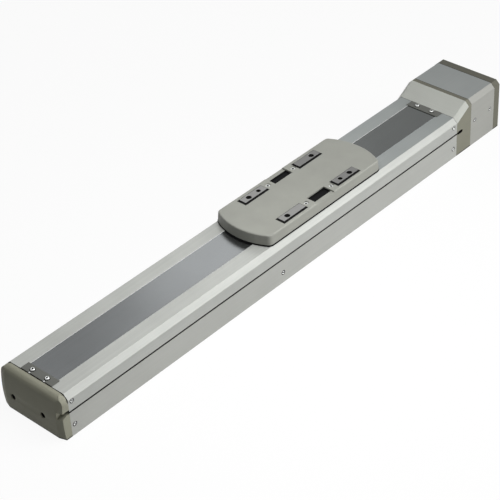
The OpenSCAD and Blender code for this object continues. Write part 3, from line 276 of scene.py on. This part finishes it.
def make_materials():
    ends, middle = [START_X + 0.0075, START_X + 0.9475], START_X + 0.47875
    # Places of the painted shadow rings round the screws, along X and up Z, and their radius.
    side_screw_shadows, top_screw_shadows = ([*ends, middle], (0.02,), 0.0043), (ends, (0.065,), 0.0043)
    motor_screw_shadows = [START_X + 1.012, START_X + 1.059], (0.0506,), 0.0039
    # Where the painted top shade starts and is full, as distances from START_X.
    everywhere, drive_end, far_pads = (-1, -0.9), (0.45, 0.75), (0.56, 0.65)
    # The cast paints carry a painted contact shadow along the foot, up to 1.2 mm.
    paint = {"roughness": 0.6, "foot_shadow": 1.2, "specular": 0.3}
    return {
        "side_aluminium": drawn_metal("extruded_side", (0.425, 0.432, 0.405), 0.1, 0.45, specular=0.4,
                                      spots=side_screw_shadows),
        # Painted shade and a painted bluish reflection on every face that looks up; the strong edge wear is partly
        # a painted highlight along the cover's edges.
        "cover_aluminium": drawn_metal("extruded_cover", (0.365, 0.367, 0.34), 0.0, 0.45, specular=0.3,
                                       painted_top_shade=(*everywhere, 0.3, (0.12, 0.175, 0.22)), worn=0.9,
                                       spots=motor_screw_shadows),
        # Painted shade on the faces that look up, darker towards the drive end beyond the slider.
        "top_aluminium": drawn_metal("extruded_top", (0.43, 0.441, 0.417), 0.15, 0.42, specular=0.4, vary=0.1,
                                     painted_top_shade=(*drive_end, 0.34, (0, 0.04, 0.07)), spots=top_screw_shadows),
        "base_aluminium": drawn_metal("extruded_base", (0.38, 0.39, 0.37), 0.25, 0.42),
        # Painted shade on the tops of the far mounting pads.
        "machined_aluminium": drawn_metal("milled", (0.24, 0.24, 0.233), 0.3, 0.5, axis=1,
                                          painted_top_shade=(*far_pads, 0.34, (0, 0, 0))),
        "slope_aluminium": drawn_metal("bent_cover", (0.55, 0.565, 0.522), 0.0, 0.5, axis=1, specular=0.3),
        "painted_casting": moulded("painted_casting", (0.3, 0.298, 0.232), worn=0.2, **paint),
        # The housing's and the end plate's paints are darker copies of the cast paint, painted shade at the drive
        # end, with painted shade on their tops too.
        "housing_shaded_paint": moulded("housing_shaded_paint", (0.215, 0.212, 0.165), worn=0.2, dim=("Z", 0.36), **paint),
        "plate_shaded_paint": moulded("plate_shaded_paint", (0.14, 0.137, 0.106), worn=0.25, dim=("Z", 0.3), **paint),
        # Painted shade: the slider cover's ends, which look along X, are darker.
        "slider_plastic": moulded("slider_plastic", (0.3, 0.305, 0.272), 0.5, 900, worn=0.2, specular=0.4,
                                  dim=("X", 0.33)),
        "steel": drawn_metal("ground_steel", (0.45, 0.46, 0.47), 0.95, 0.22),
        # Painted shade: the strip's top is darker towards the drive end.
        "strip_steel": drawn_metal("strip_steel", (0.15, 0.157, 0.16), 1.0, 0.24, line=0.02,
                                   painted_top_shade=(*drive_end, 0.33, (0.008, 0.012, 0))),
        "clamp_steel": drawn_metal("clamp_steel", (0.1, 0.103, 0.092), 0.4, 0.45, axis=1),
        # A flat light colour for the painted highlight on the top cover's edge.
        "edge_highlight": drawn_metal("edge_highlight", (0.72, 0.73, 0.72), 0.0, 0.4, worn=0),
        "screw_steel": drawn_metal("zinc_screws", (0.5, 0.51, 0.50), 0.95, 0.25),
        "black_screws": moulded("black_oxide", (0.012, 0.012, 0.013), 0.5),
        "black_plastic": moulded("black_plastic", (0.005, 0.0052, 0.0055), 0.7, specular=0.08),
        "rubber": moulded("rubber", (0.012, 0.012, 0.013), 0.7),
        "motor_paint": moulded("motor_paint", (0.02, 0.02, 0.022), 0.45),
        "roller_plastic": moulded("acetal", (0.7, 0.7, 0.66), 0.35),
        # Near black for the painted shade round the pads and under the slider cover's foot.
        "gap_shade": moulded("gap_shade", (0.006, 0.006, 0.006), 0.8, specular=0.1),
        "joint_dark": moulded("joint_shadow", (0.012, 0.012, 0.011), 0.9, specular=0.05),
        "socket_dark": moulded("socket_shadow", (0.01, 0.01, 0.01), 0.8, specular=0.1),
        # Dark grey for the painted shade in the nut grooves.
        "groove_dark": moulded("groove_shade", (0.07, 0.07, 0.066), 0.8, specular=0.1),
        # Near black for the painted shade on the load holes' threads.
        "thread_dark": moulded("thread_shade", (0.007, 0.007, 0.007), 0.6, specular=0.1),
    }


# ---------------------------------------------------------------- light and floor

def softbox(name, place, target, size, radiance):
    """A rectangular lamp whose face is as bright as radiance, where 1 is white."""
    data = bpy.data.lights.new(name, "AREA")
    data.shape = "RECTANGLE"
    data.size, data.size_y = size
    data.energy = radiance * math.pi * size[0] * size[1]
    lamp = bpy.data.objects.new(name, data)
    aim = Vector(target) - Vector(place)
    lamp.matrix_world = Matrix.Translation(place) @ aim.to_track_quat("-Z", "Y").to_matrix().to_4x4()
    bpy.context.scene.collection.objects.link(lamp)


def seen_directly(tree):
    """1 for rays from the camera, in reflections and through glass, 0 for light on a surface."""
    path = tree.nodes.new("ShaderNodeLightPath")
    most = path.outputs["Is Camera Ray"]
    for ray in ("Is Glossy Ray", "Is Transmission Ray"):
        node = tree.nodes.new("ShaderNodeMath")
        node.operation = "MAXIMUM"
        tree.links.new(most, node.inputs[0])
        tree.links.new(path.outputs[ray], node.inputs[1])
        most = node.outputs[0]
    return most


def make_world():
    """A dim sky for the light on surfaces, which is white where it is seen."""
    world = bpy.data.worlds.new("studio")
    world.use_nodes = True
    bpy.context.scene.world = world
    tree = world.node_tree
    sky = tree.nodes["Background"]
    sky.inputs["Color"].default_value = (1, 1, 1, 1)
    sky.inputs["Strength"].default_value = SKY
    white = tree.nodes.new("ShaderNodeBackground")
    white.inputs["Color"].default_value = (1, 1, 1, 1)
    white.inputs["Strength"].default_value = 1
    mix = tree.nodes.new("ShaderNodeMixShader")
    tree.links.new(seen_directly(tree), mix.inputs["Fac"])
    tree.links.new(sky.outputs["Background"], mix.inputs[1])
    tree.links.new(white.outputs["Background"], mix.inputs[2])
    tree.links.new(mix.outputs["Shader"], tree.nodes["World Output"].inputs["Surface"])


def make_floor():
    """A floor that looks almost white, keeps the object's shadow and gives little light back."""
    mesh = bpy.data.meshes.new("floor")
    reach = 12
    mesh.from_pydata([(x, y, 0) for x, y in ((-reach, -reach), (reach, -reach), (reach, reach), (-reach, reach))],
                     [], [(0, 1, 2, 3)])
    floor = bpy.data.objects.new("floor", mesh)
    floor.location.z = -0.2 * MM    # clear of the object's underside
    bpy.context.scene.collection.objects.link(floor)
    n = Nodes("floor")
    seen = seen_directly(n.tree)
    n.link(n.tint(seen, (BOUNCE,) * 3, (0.95,) * 3), n.shader.inputs["Base Color"])
    n.shader.inputs["Roughness"].default_value = 0.9
    n.shader.inputs["Specular IOR Level"].default_value = 0.1
    glow = n.add("ShaderNodeEmission")
    glow.inputs["Strength"].default_value = 1
    mix = n.add("ShaderNodeMixShader")
    n.link(n.calc("MULTIPLY", seen, FLOOR_GLOW), mix.inputs["Fac"])
    n.link(n.shader.outputs["BSDF"], mix.inputs[1])
    n.link(glow.outputs["Emission"], mix.inputs[2])
    n.link(mix.outputs["Shader"], n.tree.nodes["Material Output"].inputs["Surface"])
    mesh.materials.append(n.material)


# ---------------------------------------------------------------- the CAD nodes' finish

def dress_nodes(materials):
    """Gives each CAD node the finish of its slot, or its own tone of it."""
    slots = {s["node"]: s["material_slot"] for s in frame["record"]["subparts"]}
    for name, obj in nodes.items():
        obj.data.materials.clear()
        obj.data.materials.append(materials[TONES.get(name, slots[name])])


def soften(name, width, segments=2, angle=35):
    """Joins the flat triangles of a CAD node and rounds its sharp edges a little."""
    obj = nodes[name]
    weld = obj.modifiers.new("weld", "WELD")
    weld.merge_threshold = 0.01 * MM
    flat = obj.modifiers.new("flat", "DECIMATE")
    flat.decimate_type = "DISSOLVE"
    flat.angle_limit = math.radians(0.3)
    bevel = obj.modifiers.new("edges", "BEVEL")
    bevel.width = width
    bevel.segments = segments
    bevel.limit_method = "ANGLE"
    bevel.angle_limit = math.radians(angle)
    bevel.use_clamp_overlap = True


# ---------------------------------------------------------------- shapes

class Shape:
    """Points and faces of one piece in metres, with the number of a finish for each face."""

    def __init__(self):
        self.points, self.faces, self.numbers = [], [], []

    def loops(self, loops, number=0, start=False, end=False):
        """Joins closed loops of as many points each. start and end fill the first and the last.

        number is the finish, or a list with one for each row of faces."""
        first, size = len(self.points), len(loops[0])
        numbers = number if isinstance(number, list) else [number] * (len(loops) - 1)
        for loop in loops:
            self.points += [tuple(p) for p in loop]
        for row in range(len(loops) - 1):
            a, b = first + row * size, first + (row + 1) * size
            for i in range(size):
                j = (i + 1) % size
                self.faces.append((a + i, a + j, b + j, b + i))
                self.numbers.append(numbers[row])
        last = len(self.points) - size
        if start:
            self.faces.append(tuple(range(first, first + size)))
            self.numbers.append(numbers[0])
        if end:
            self.faces.append(tuple(range(last, last + size)))
            self.numbers.append(numbers[-1])

    def turn(self, profile, place, axis, number=0, hexed=(), sides=36, start=True, end=True):
        """Turns (radius, height) pairs in millimetres about an axis; the rows in hexed are six-sided."""
        turn, sixth = Vector(axis).to_track_quat("Z", "Y").to_matrix(), math.pi / 6
        loops = []
        for row, (radius, height) in enumerate(profile):
            loop = []
            for i in range(sides):
                angle = 2 * math.pi * i / sides
                r = radius
                if row in hexed:
                    r = radius * math.cos(sixth) / math.cos((angle + sixth) % (math.pi / 3) - sixth)
                loop.append(Vector(place) + turn @ Vector((r * math.cos(angle), r * math.sin(angle), height)) * MM)
            loops.append(loop)
        self.loops(loops, number, start, end)

    def make(self, name, finishes, smooth=35):
        """The finished object, with its faces turned outwards and smooth up to an angle in degrees."""
        mesh = bpy.data.meshes.new(name)
        mesh.from_pydata(self.points, [], self.faces)
        for finish in finishes:
            mesh.materials.append(finish)
        mesh.polygons.foreach_set("material_index", self.numbers)
        work = bmesh.new()
        work.from_mesh(mesh)
        bmesh.ops.recalc_face_normals(work, faces=work.faces)
        work.to_mesh(mesh)
        work.free()
        mesh.shade_smooth()
        mesh.set_sharp_from_angle(angle=math.radians(smooth))
        obj = bpy.data.objects.new(name, mesh)
        bpy.context.scene.collection.objects.link(obj)
        return obj


def add_piece(shape, name, finish, body):
    """A piece of one finish that rides on a body."""
    piece = shape.make(name, [finish])
    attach(piece, body)
    return piece


def solids(name):
    """The low and high corners of each separate solid of a CAD node."""
    mesh = nodes[name].data
    numbers, spots = [], {}
    for v in mesh.vertices:
        numbers.append(spots.setdefault(tuple(round(c, 6) for c in v.co), len(spots)))
    above = list(range(len(spots)))

    def top(i):
        while above[i] != i:
            above[i] = above[above[i]]
            i = above[i]
        return i

    for face in mesh.polygons:
        first = top(numbers[face.vertices[0]])
        for v in face.vertices[1:]:
            above[top(numbers[v])] = first
    boxes = {}
    for v, number in zip(mesh.vertices, numbers):
        low, high = boxes.setdefault(top(number), (v.co.copy(), v.co.copy()))
        for k in range(3):
            low[k], high[k] = min(low[k], v.co[k]), max(high[k], v.co[k])
    return list(boxes.values())


# ---------------------------------------------------------------- screws

# Each head gives its screw's (radius, height) pairs in millimetres, from the point to the bottom of the
# socket, with the height 0 under a raised head, and level with the surface on a sunk one. The last four
# are the socket's mouth, its wall's top and foot, and the middle of its bottom.

def shank(thread, length):
    return [(0.01, -length), (thread / 2 - 0.3, -length), (thread / 2, 0.3 - length)]


def flat_head(thread, head, length, socket=0.27):
    cone, socket = (head - thread) / 2, head * socket
    return shank(thread, length) + [
        (thread / 2, -cone), (head / 2 - 0.1, -0.25), (head / 2 - 0.05, -0.1), (head / 2 - 0.25, 0),
        (socket + 0.35, 0), (socket, -0.3), (socket, -head * 0.3), (0.01, -head * 0.34)]


def pan_head(thread, head, high, length):
    socket = head * 0.25
    return shank(thread, length) + [
        (thread / 2, 0), (head / 2 - 0.1, 0), (head / 2, 0.12), (head / 2 * 0.97, high * 0.45),
        (head / 2 * 0.88, high * 0.75), (head / 2 * 0.72, high * 0.94), (head / 2 * 0.6, high),
        (socket + 0.3, high), (socket, high - 0.25), (socket, high * 0.3), (0.01, high * 0.22)]


def socket_head(thread, head, high, length):
    socket = head * 0.29
    return shank(thread, length) + [
        (thread / 2, 0), (head / 2 - 0.2, 0), (head / 2, 0.2), (head / 2, high - 0.5), (head / 2 - 0.4, high),
        (socket + 0.35, high), (socket, high - 0.3), (socket, high * 0.4), (0.01, high * 0.32)]


def add_screws(node, name, body, direction, profile, high, finishes):
    """Stands for a CAD node of screws. direction(middle) says which way a screw's head looks, and high is how
    far it stands out in millimetres."""
    shape = Shape()
    wall = len(profile) - 3     # the row at the top of the socket's wall
    numbers = [int(row >= wall) for row in range(len(profile) - 1)]
    for low, top in solids(node):
        middle = (low + top) / 2
        way = Vector(direction(middle))
        place = middle.copy()
        for k in range(3):
            if abs(way[k]) > 0.5:
                place[k] = (top[k] if way[k] > 0 else low[k]) - way[k] * high * MM
        shape.turn(profile, place, way, numbers, (wall, wall + 1))
    piece = shape.make(name, finishes)
    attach(piece, body)
    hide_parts(node)


def make_screws(m):
    """Every screw that can be seen. The holes' sizes and the screws' lengths are the CAD's."""
    def length(node, axis, high=0):
        low, top = solids(node)[0]
        return (top[axis] - low[axis]) / MM - high

    def outwards(p):
        return (0, math.copysign(1, p.y), 0)

    def upwards(p):
        return (0, 0, 1)

    steel, black = (m["screw_steel"], m["socket_dark"]), (m["black_screws"], m["socket_dark"])
    add_screws("side_screws", "side_cover_screws", "frame", outwards,
               flat_head(3, 6, 9, 0.4), 0, steel)
    add_screws("motor_cover_screws", "motor_cover_fasteners", "frame", outwards,
               flat_head(3, 6, length("motor_cover_screws", 1)), 0, steel)
    add_screws("cover_screws", "slider_cover_screws", "slider", upwards,
               flat_head(4, 8, length("cover_screws", 2)), 0, steel)
    add_screws("strip_clamp_screws", "clamp_screws", "frame", upwards,
               pan_head(4, 7.6, 2.4, length("strip_clamp_screws", 2, 2.4)), 2.4, steel)
    add_screws("cap_screws", "end_cap_screws", "frame", lambda p: (-1, 0, 0),
               socket_head(5, 8.5, 4, length("cap_screws", 0, 4)), 4, black)
    add_screws("end_plate_screws", "rear_plate_screws", "frame", lambda p: (1, 0, 0),
               socket_head(4, 6.8, 3.2, length("end_plate_screws", 0, 3.2)), 3.2, black)


# ---------------------------------------------------------------- joints, seals and hole linings

def bevelled(height, bevel):
    """A section as the body and the drive end have it, in millimetres."""
    w = WIDTH / 2
    return [(-w, 0), (w, 0), (w, height - bevel), (w - bevel, height), (bevel - w, height), (-w, height - bevel)]


def grown(outline, out):
    """A convex outline moved outwards, with its corners kept sharp."""
    result, count = [], len(outline)
    for i, (y, z) in enumerate(outline):
        before, after = outline[i - 1], outline[(i + 1) % count]
        one = Vector((y - before[0], z - before[1])).normalized()
        two = Vector((after[0] - y, after[1] - z)).normalized()
        first, second = Vector((one.y, -one.x)), Vector((two.y, -two.x))
        way = (first + second) / (1 + first.dot(second))
        result.append((y + way.x * out, z + way.y * out))
    return result


def joint_line(name, finish, outline, middle, width):
    """The dark line of a joint between two parts, across the axis at middle in metres. It stands out a
    little on the top, and stays inside the CAD's box on the sides."""
    sunk, proud, foot = -0.4, 0.06, 0.05
    widest = outline[1][0] - 0.02
    shape, loops = Shape(), []
    for x, out in ((-width / 2, sunk), (-width / 2, proud), (width / 2, proud), (width / 2, sunk)):
        loops.append([(middle + x * MM, max(-widest, min(widest, y)) * MM, max(z, foot) * MM)
                      for y, z in grown(outline, out)])
    shape.loops(loops)
    add_piece(shape, name, finish, "frame")


def make_joint_lines(dark):
    body, drive = bevelled(78.2, 8.7), bevelled(97.3, 8)
    side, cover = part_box("side_cover_right"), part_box("motor_cover")
    joint_line("cap_joint", dark, body, side[0].x - 0.1 * MM, 1.3)
    joint_line("housing_joint", dark, body, side[1].x, 0.6)
    joint_line("cover_joint", dark, drive, cover[0].x - 0.2 * MM, 0.6)
    joint_line("plate_joint", dark, drive, cover[1].x, 0.7)


def rectangle(centre, length, width, z):
    """A loop round centre, an x and y in metres; the sizes and z are in millimetres."""
    x, y = length / 2 * MM, width / 2 * MM
    return [(centre[0] - x, centre[1] - y, z * MM), (centre[0] + x, centre[1] - y, z * MM),
            (centre[0] + x, centre[1] + y, z * MM), (centre[0] - x, centre[1] + y, z * MM)]


def make_pad_shade_bands(dark):
    """A black band round the foot of each mounting pad, which fills the gap in the slider cover: painted shade of
    the gap and the pads' sides.

    A row of the section is how far out from the pad, how far below its top, and how far it is moved
    towards the near right, where the painted shade shows as a wider band."""
    length, width = 54, 14.4
    section = ((0.02, 5, 0), (1.28, 5, 0), (1.28, 1.1, 0), (2.8, 1.05, 1.4), (2.8, 0.98, 1.4), (0.25, 0.9, 0),
               (0.25, 0.15, 0), (0.02, 0.06, 0))
    top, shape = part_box("mounting_table")[1].z / MM, Shape()
    low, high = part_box("slider_cover")
    middle = (low + high) / 2
    for x in (-69, 69):
        for y in (-42.3, 42.3):
            loops = []
            for out, down, aside in section:
                centre = (middle.x + x * MM - aside * MM, middle.y + y * MM - aside * MM)
                loops.append(rectangle(centre, length + 2 * out, width + 2 * out, top - down))
            loops.append(loops[0])
            shape.loops(loops)
    add_piece(shape, "pad_shade_bands", dark, "slider")


def make_hole_shade(thread, dark):
    """Threads in the load holes, and the dark insides of the dowel holes and the cap's holes; the threads' black
    and the dark insides are painted shade.
    """
    mounts = {row["name"]: row for row in frame["record"]["mounts"]}
    threads, bores, cap = Shape(), Shape(), Shape()
    holes = mounts["load_holes"]
    dims, pitch, turns = holes["dims"], 1.5, 14
    r = dims["hole_r_mm"]
    profile = []
    for k in range(turns):
        start = -pitch * k
        profile += [(r - 0.02, start - 0.1), (r - pitch / 2, start - 0.75), (r - pitch / 2, start - 0.95)]
    profile += [(r - 0.02, -pitch * turns - 0.1), (0.01, -pitch * turns - 0.2)]
    for x in (-0.5, 0.5):
        for y in (-0.5, 0.5):
            way = Vector((x * dims["spacing_x_mm"], y * dims["spacing_y_mm"], 0))
            threads.turn(profile, Vector(holes["pos_m"]) + way * MM, (0, 0, 1), start=False)
    for name in ("dowel_hole_left", "dowel_hole_right"):
        r = mounts[name]["dims"]["r_mm"]
        spot = Vector(mounts[name]["pos_m"]) + Vector((0, 0, 5 * MM))
        bores.turn([(r - 0.02, -0.4), (r - 0.12, -0.6), (r - 0.12, -9.8), (0.01, -9.9)], spot, (0, 0, 1),
                   start=False)
    for low, high in solids("cap_screws"):
        middle = (low + high) / 2
        spot = Vector((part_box("end_cap")[0].x, middle.y, middle.z))
        cap.turn([(5.18, 1.6), (5.02, 1.9), (5.02, 12.8), (5.18, 12.9)], spot, (1, 0, 0), start=False, end=False)
    add_piece(threads, "load_hole_threads", thread, "slider")
    add_piece(bores, "dowel_hole_shade", dark, "slider")
    add_piece(cap, "cap_hole_shade", dark, "frame")


def groove_height():
    """The height of the nut grooves' middle."""
    for row in frame["record"]["mounts"]:
        if row["name"] == "nut_groove_right_mouth":
            return row["pos_m"][2]


def make_nut_slot_shade(dark):
    """The dark insides of the housing's nut slots, which are ovals: two half circles 8.4 mm apart. The dark is
    painted shade.
    """
    shape, height, sides, apart = Shape(), groove_height(), 32, 4.2
    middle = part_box("slope_cover")[0].x + 10 * MM
    for side in (-1, 1):
        loops = []
        for r, y in ((3.25, 67.3), (3.15, 67.2), (3.15, 62.15), (0.05, 62.1)):
            loop = []
            for i in range(sides):
                angle = 2 * math.pi * i / sides
                x = r * math.cos(angle) + math.copysign(apart, math.cos(angle)) * (1 if r > 1 else 0.9)
                loop.append((middle + x * MM, side * y * MM, height + r * math.sin(angle) * MM))
            loops.append(loop)
        shape.loops(loops, end=True)
    add_piece(shape, "nut_slot_insides", dark, "frame")


def make_groove_shade_pieces(dark):
    """Dark insets in the nut grooves, which keep the grooves open: a foot with a back, and a lip above. They are
    painted shade.
    """
    low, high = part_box("side_cover_right")
    height, shape = groove_height() / MM, Shape()
    foot = [(67.3, -1.78), (67.3, -1.7), (61.8, -1.7), (61.8, 5.1), (61.7, 5.1), (61.7, -1.78)]
    lip = [(67.3, 1.78), (67.3, 1.7), (66.2, 1.7), (66.2, 1.78)]
    for side in (-1, 1):
        for section in (foot, lip):
            shape.loops([[(x, side * y * MM, (height + z) * MM) for y, z in section]
                         for x in (low.x + 0.2 * MM, high.x - 0.2 * MM)], start=True, end=True)
    add_piece(shape, "groove_shade_pieces", dark, "frame")


def make_clamp_shims(finish):
    """Bright ends of the cover strip, which show in the open slots of its clamps."""
    shape = Shape()
    for node, out in (("strip_clamp_near", 1), ("strip_clamp_far", -1)):
        low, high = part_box(node)
        start, z = (low.x if out > 0 else high.x), low.z / MM
        for y in (-16, 16):
            centre = (start + out * 3.9 * MM, y * MM)
            shape.loops([rectangle(centre, 7.4, 4.4, z + 0.02), rectangle(centre, 7.4, 4.4, z + 0.3),
                         rectangle(centre, 7.0, 4.0, z + 0.45)], start=True, end=True)
    add_piece(shape, "clamp_shims", finish, "frame")


def make_clamp_screw_shadows(dark):
    """Dark rings under the clamp screws' heads: painted shadow round the heads."""
    shape, top = Shape(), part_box("strip_clamp_near")[1].z
    for low, high in solids("strip_clamp_screws"):
        middle = (low + high) / 2
        shape.turn([(3.4, -0.1), (4.7, -0.1), (4.7, 0.2), (3.4, 0.22), (3.4, -0.1)],
                   Vector((middle.x, middle.y, top)), (0, 0, 1), start=False, end=False)
    add_piece(shape, "clamp_screw_shadows", dark, "frame")


def make_edge_highlight(finish):
    """A painted highlight: a thin bright band on the left top cover's edge, beside the strip, from clamp to clamp.
    """
    low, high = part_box("top_cover_left")
    shape, clamps, width = Shape(), 34, 0.9
    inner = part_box("seal_strip")[1].y + 0.1 * MM
    centre = ((low.x + high.x) / 2, inner + width / 2 * MM)
    shape.loops([rectangle(centre, (high.x - low.x) / MM - clamps, width, high.z / MM + z) for z in (-0.2, 0.03)],
                start=True, end=True)
    add_piece(shape, "top_cover_highlight", finish, "frame")


def make_slider_foot_shade(dark):
    """A black lip that closes the gap between the slider cover's foot and the body: painted shade under the foot.

    Its outline is the cover's: ends of one large radius, which small corners join to straight sides. A row
    of the section is how far in from the outline, and how high over the cover's foot."""
    section = ((-0.25, 1.7), (-0.25, -1.1), (0.1, -1.2), (1.9, -1.2), (1.9, 0.05), (0.1, 0.05), (0.1, 1.7))
    low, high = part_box("slider_cover")
    middle, half = (low + high) / 2, (high - low) / 2 / MM
    end_r, corner_r = 113, 11
    end_x, corner_y = half.x - end_r, half.y - corner_r
    corner_x = end_x + math.sqrt((end_r - corner_r) ** 2 - corner_y ** 2)
    turn = math.atan2(corner_y, corner_x - end_x)
    quarter = [(end_x, 0, end_r, turn * i / 12) for i in range(13)]
    quarter += [(corner_x, corner_y, corner_r, turn + (math.pi / 2 - turn) * i / 8) for i in range(1, 9)]
    loops = []
    for inset, z in section:
        first = [(x + (r - inset) * math.cos(angle), y + (r - inset) * math.sin(angle))
                 for x, y, r, angle in quarter]
        line = first + [(-x, y) for x, y in reversed(first)]
        line += [(-x, -y) for x, y in first[1:]] + [(x, -y) for x, y in reversed(first[1:])]
        loops.append([(middle.x + x * MM, middle.y + y * MM, low.z + z * MM) for x, y in line])
    loops.append(loops[0])
    shape = Shape()
    shape.loops(loops)
    add_piece(shape, "slider_foot_shade", dark, "slider")


# ---------------------------------------------------------------- cover strip and belt runs

def band(half, low, high, edge):
    """A flat section with bevelled corners: half its width, its two heights and the bevel."""
    return [(-half + edge, low), (half - edge, low), (half, low + edge), (half, high - edge),
            (half - edge, high), (-half + edge, high), (-half, high - edge), (-half, low + edge)]


def flat_run(name, finish, low, high, edge=CORNER):
    """A flat band between the frame and the slider, with points at its two ends only."""
    shape, section = Shape(), band(high.y, low.z, high.z, edge * MM)
    shape.loops([[(x, y, z) for y, z in section] for x in (low.x, high.x)], start=True, end=True)
    piece = shape.make(name, [finish])
    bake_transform(piece)
    return piece


def make_strip(finish):
    """The cover strip: flat runs from its clamps to the slider and the hump over the rollers in it."""
    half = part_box("seal_strip")[1].y
    levels = {}     # the heights of the CAD strip's edge, by place along it
    for v in nodes["seal_strip"].data.vertices:
        if v.co.y > half - 0.01 * MM:
            levels.setdefault(round(v.co.x, 5), []).append(v.co.z)
    corners = [Vector((x, 0, min(levels[x]))) for x in sorted(levels)]
    start, end = corners[0], corners[-1]
    thick = max(levels[min(levels)]) - min(levels[min(levels)])
    reach, steps, spare = 5 * MM, 6, Vector((6 * MM, 0, 0))
    path = [corners[1] - spare]
    for i in range(1, len(corners) - 1):
        a = corners[i] + (corners[i - 1] - corners[i]).normalized() * reach
        c = corners[i] + (corners[i + 1] - corners[i]).normalized() * reach
        for step in range(steps + 1):
            t = step / steps
            path.append(a * (1 - t) ** 2 + corners[i] * 2 * t * (1 - t) + c * t ** 2)
    path.append(corners[-2] + spare)
    section, hump = band(half, 0, thick, CORNER * MM), Shape()
    hump.loops([[(p.x, y, p.z + z) for y, z in section] for p in path], start=True, end=True)
    piece = add_piece(hump, "cover_strip_hump", finish, "slider")
    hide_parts("seal_strip")
    flat_run("cover_strip_near", finish, Vector((start.x, 0, start.z)),
             Vector((path[0].x, half, start.z + thick)))
    flat_run("cover_strip_far", finish, Vector((path[-1].x, 0, start.z)),
             Vector((end.x, half, start.z + thick)))


def make_belt_runs(finish):
    """The main belt's two upper runs, as flat bands."""
    for node, fixed in (("belt_run_near", True), ("belt_run_far", False)):
        low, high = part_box(node)
        piece = flat_run(node.replace("belt_run", "upper_belt"), finish, low, high, 0.3)
        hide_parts(node)


bpy.context.scene.view_settings.view_transform = "Standard"
make_camera()
make_world()
make_floor()
materials = make_materials()
dress_nodes(materials)
# A large lamp for the sides, one whose reflection brightens the bevels, one over the tops, and one whose
# reflection lightens the strip beside the slider.
softbox("key", (2.2, -2.9, 0.6), (0, 0, 0.05), (2.0, 1.9), 7.7)
softbox("glint", (2.1, -1.85, 1.75), (0.1, 0, 0.08), (1.3, 1.1), 3.2)
softbox("overhead", (-0.15, -0.28, 0.82), (-0.15, -0.3, 0), (0.8, 0.7), 3.75)
softbox("sheen", (START_X + 1.48, 1.0, 1.15), (START_X + 0.42, 0, 0.08), (0.55, 0.5), 1.7)
for node in ("side_cover_left", "side_cover_right", "top_cover_left", "top_cover_right"):
    soften(node, 0.0004)
for node in ("drive_housing", "slope_cover", "motor_cover"):
    soften(node, 0.0005)
soften("end_plate", 0.0016, 3)
soften("end_cap", 0.0014, 3, 15)
soften("base_frame", 0.0003, 1)
for node in ("strip_clamp_near", "strip_clamp_far", "mounting_table"):
    soften(node, 0.0002, 1)
make_screws(materials)
make_joint_lines(materials["joint_dark"])
make_pad_shade_bands(materials["gap_shade"])
make_hole_shade(materials["thread_dark"], materials["joint_dark"])
make_nut_slot_shade(materials["joint_dark"])
make_groove_shade_pieces(materials["groove_dark"])
make_clamp_shims(materials["screw_steel"])
make_clamp_screw_shadows(materials["joint_dark"])
make_edge_highlight(materials["edge_highlight"])
make_slider_foot_shade(materials["gap_shade"])
make_strip(materials["strip_steel"])
make_belt_runs(materials["rubber"])
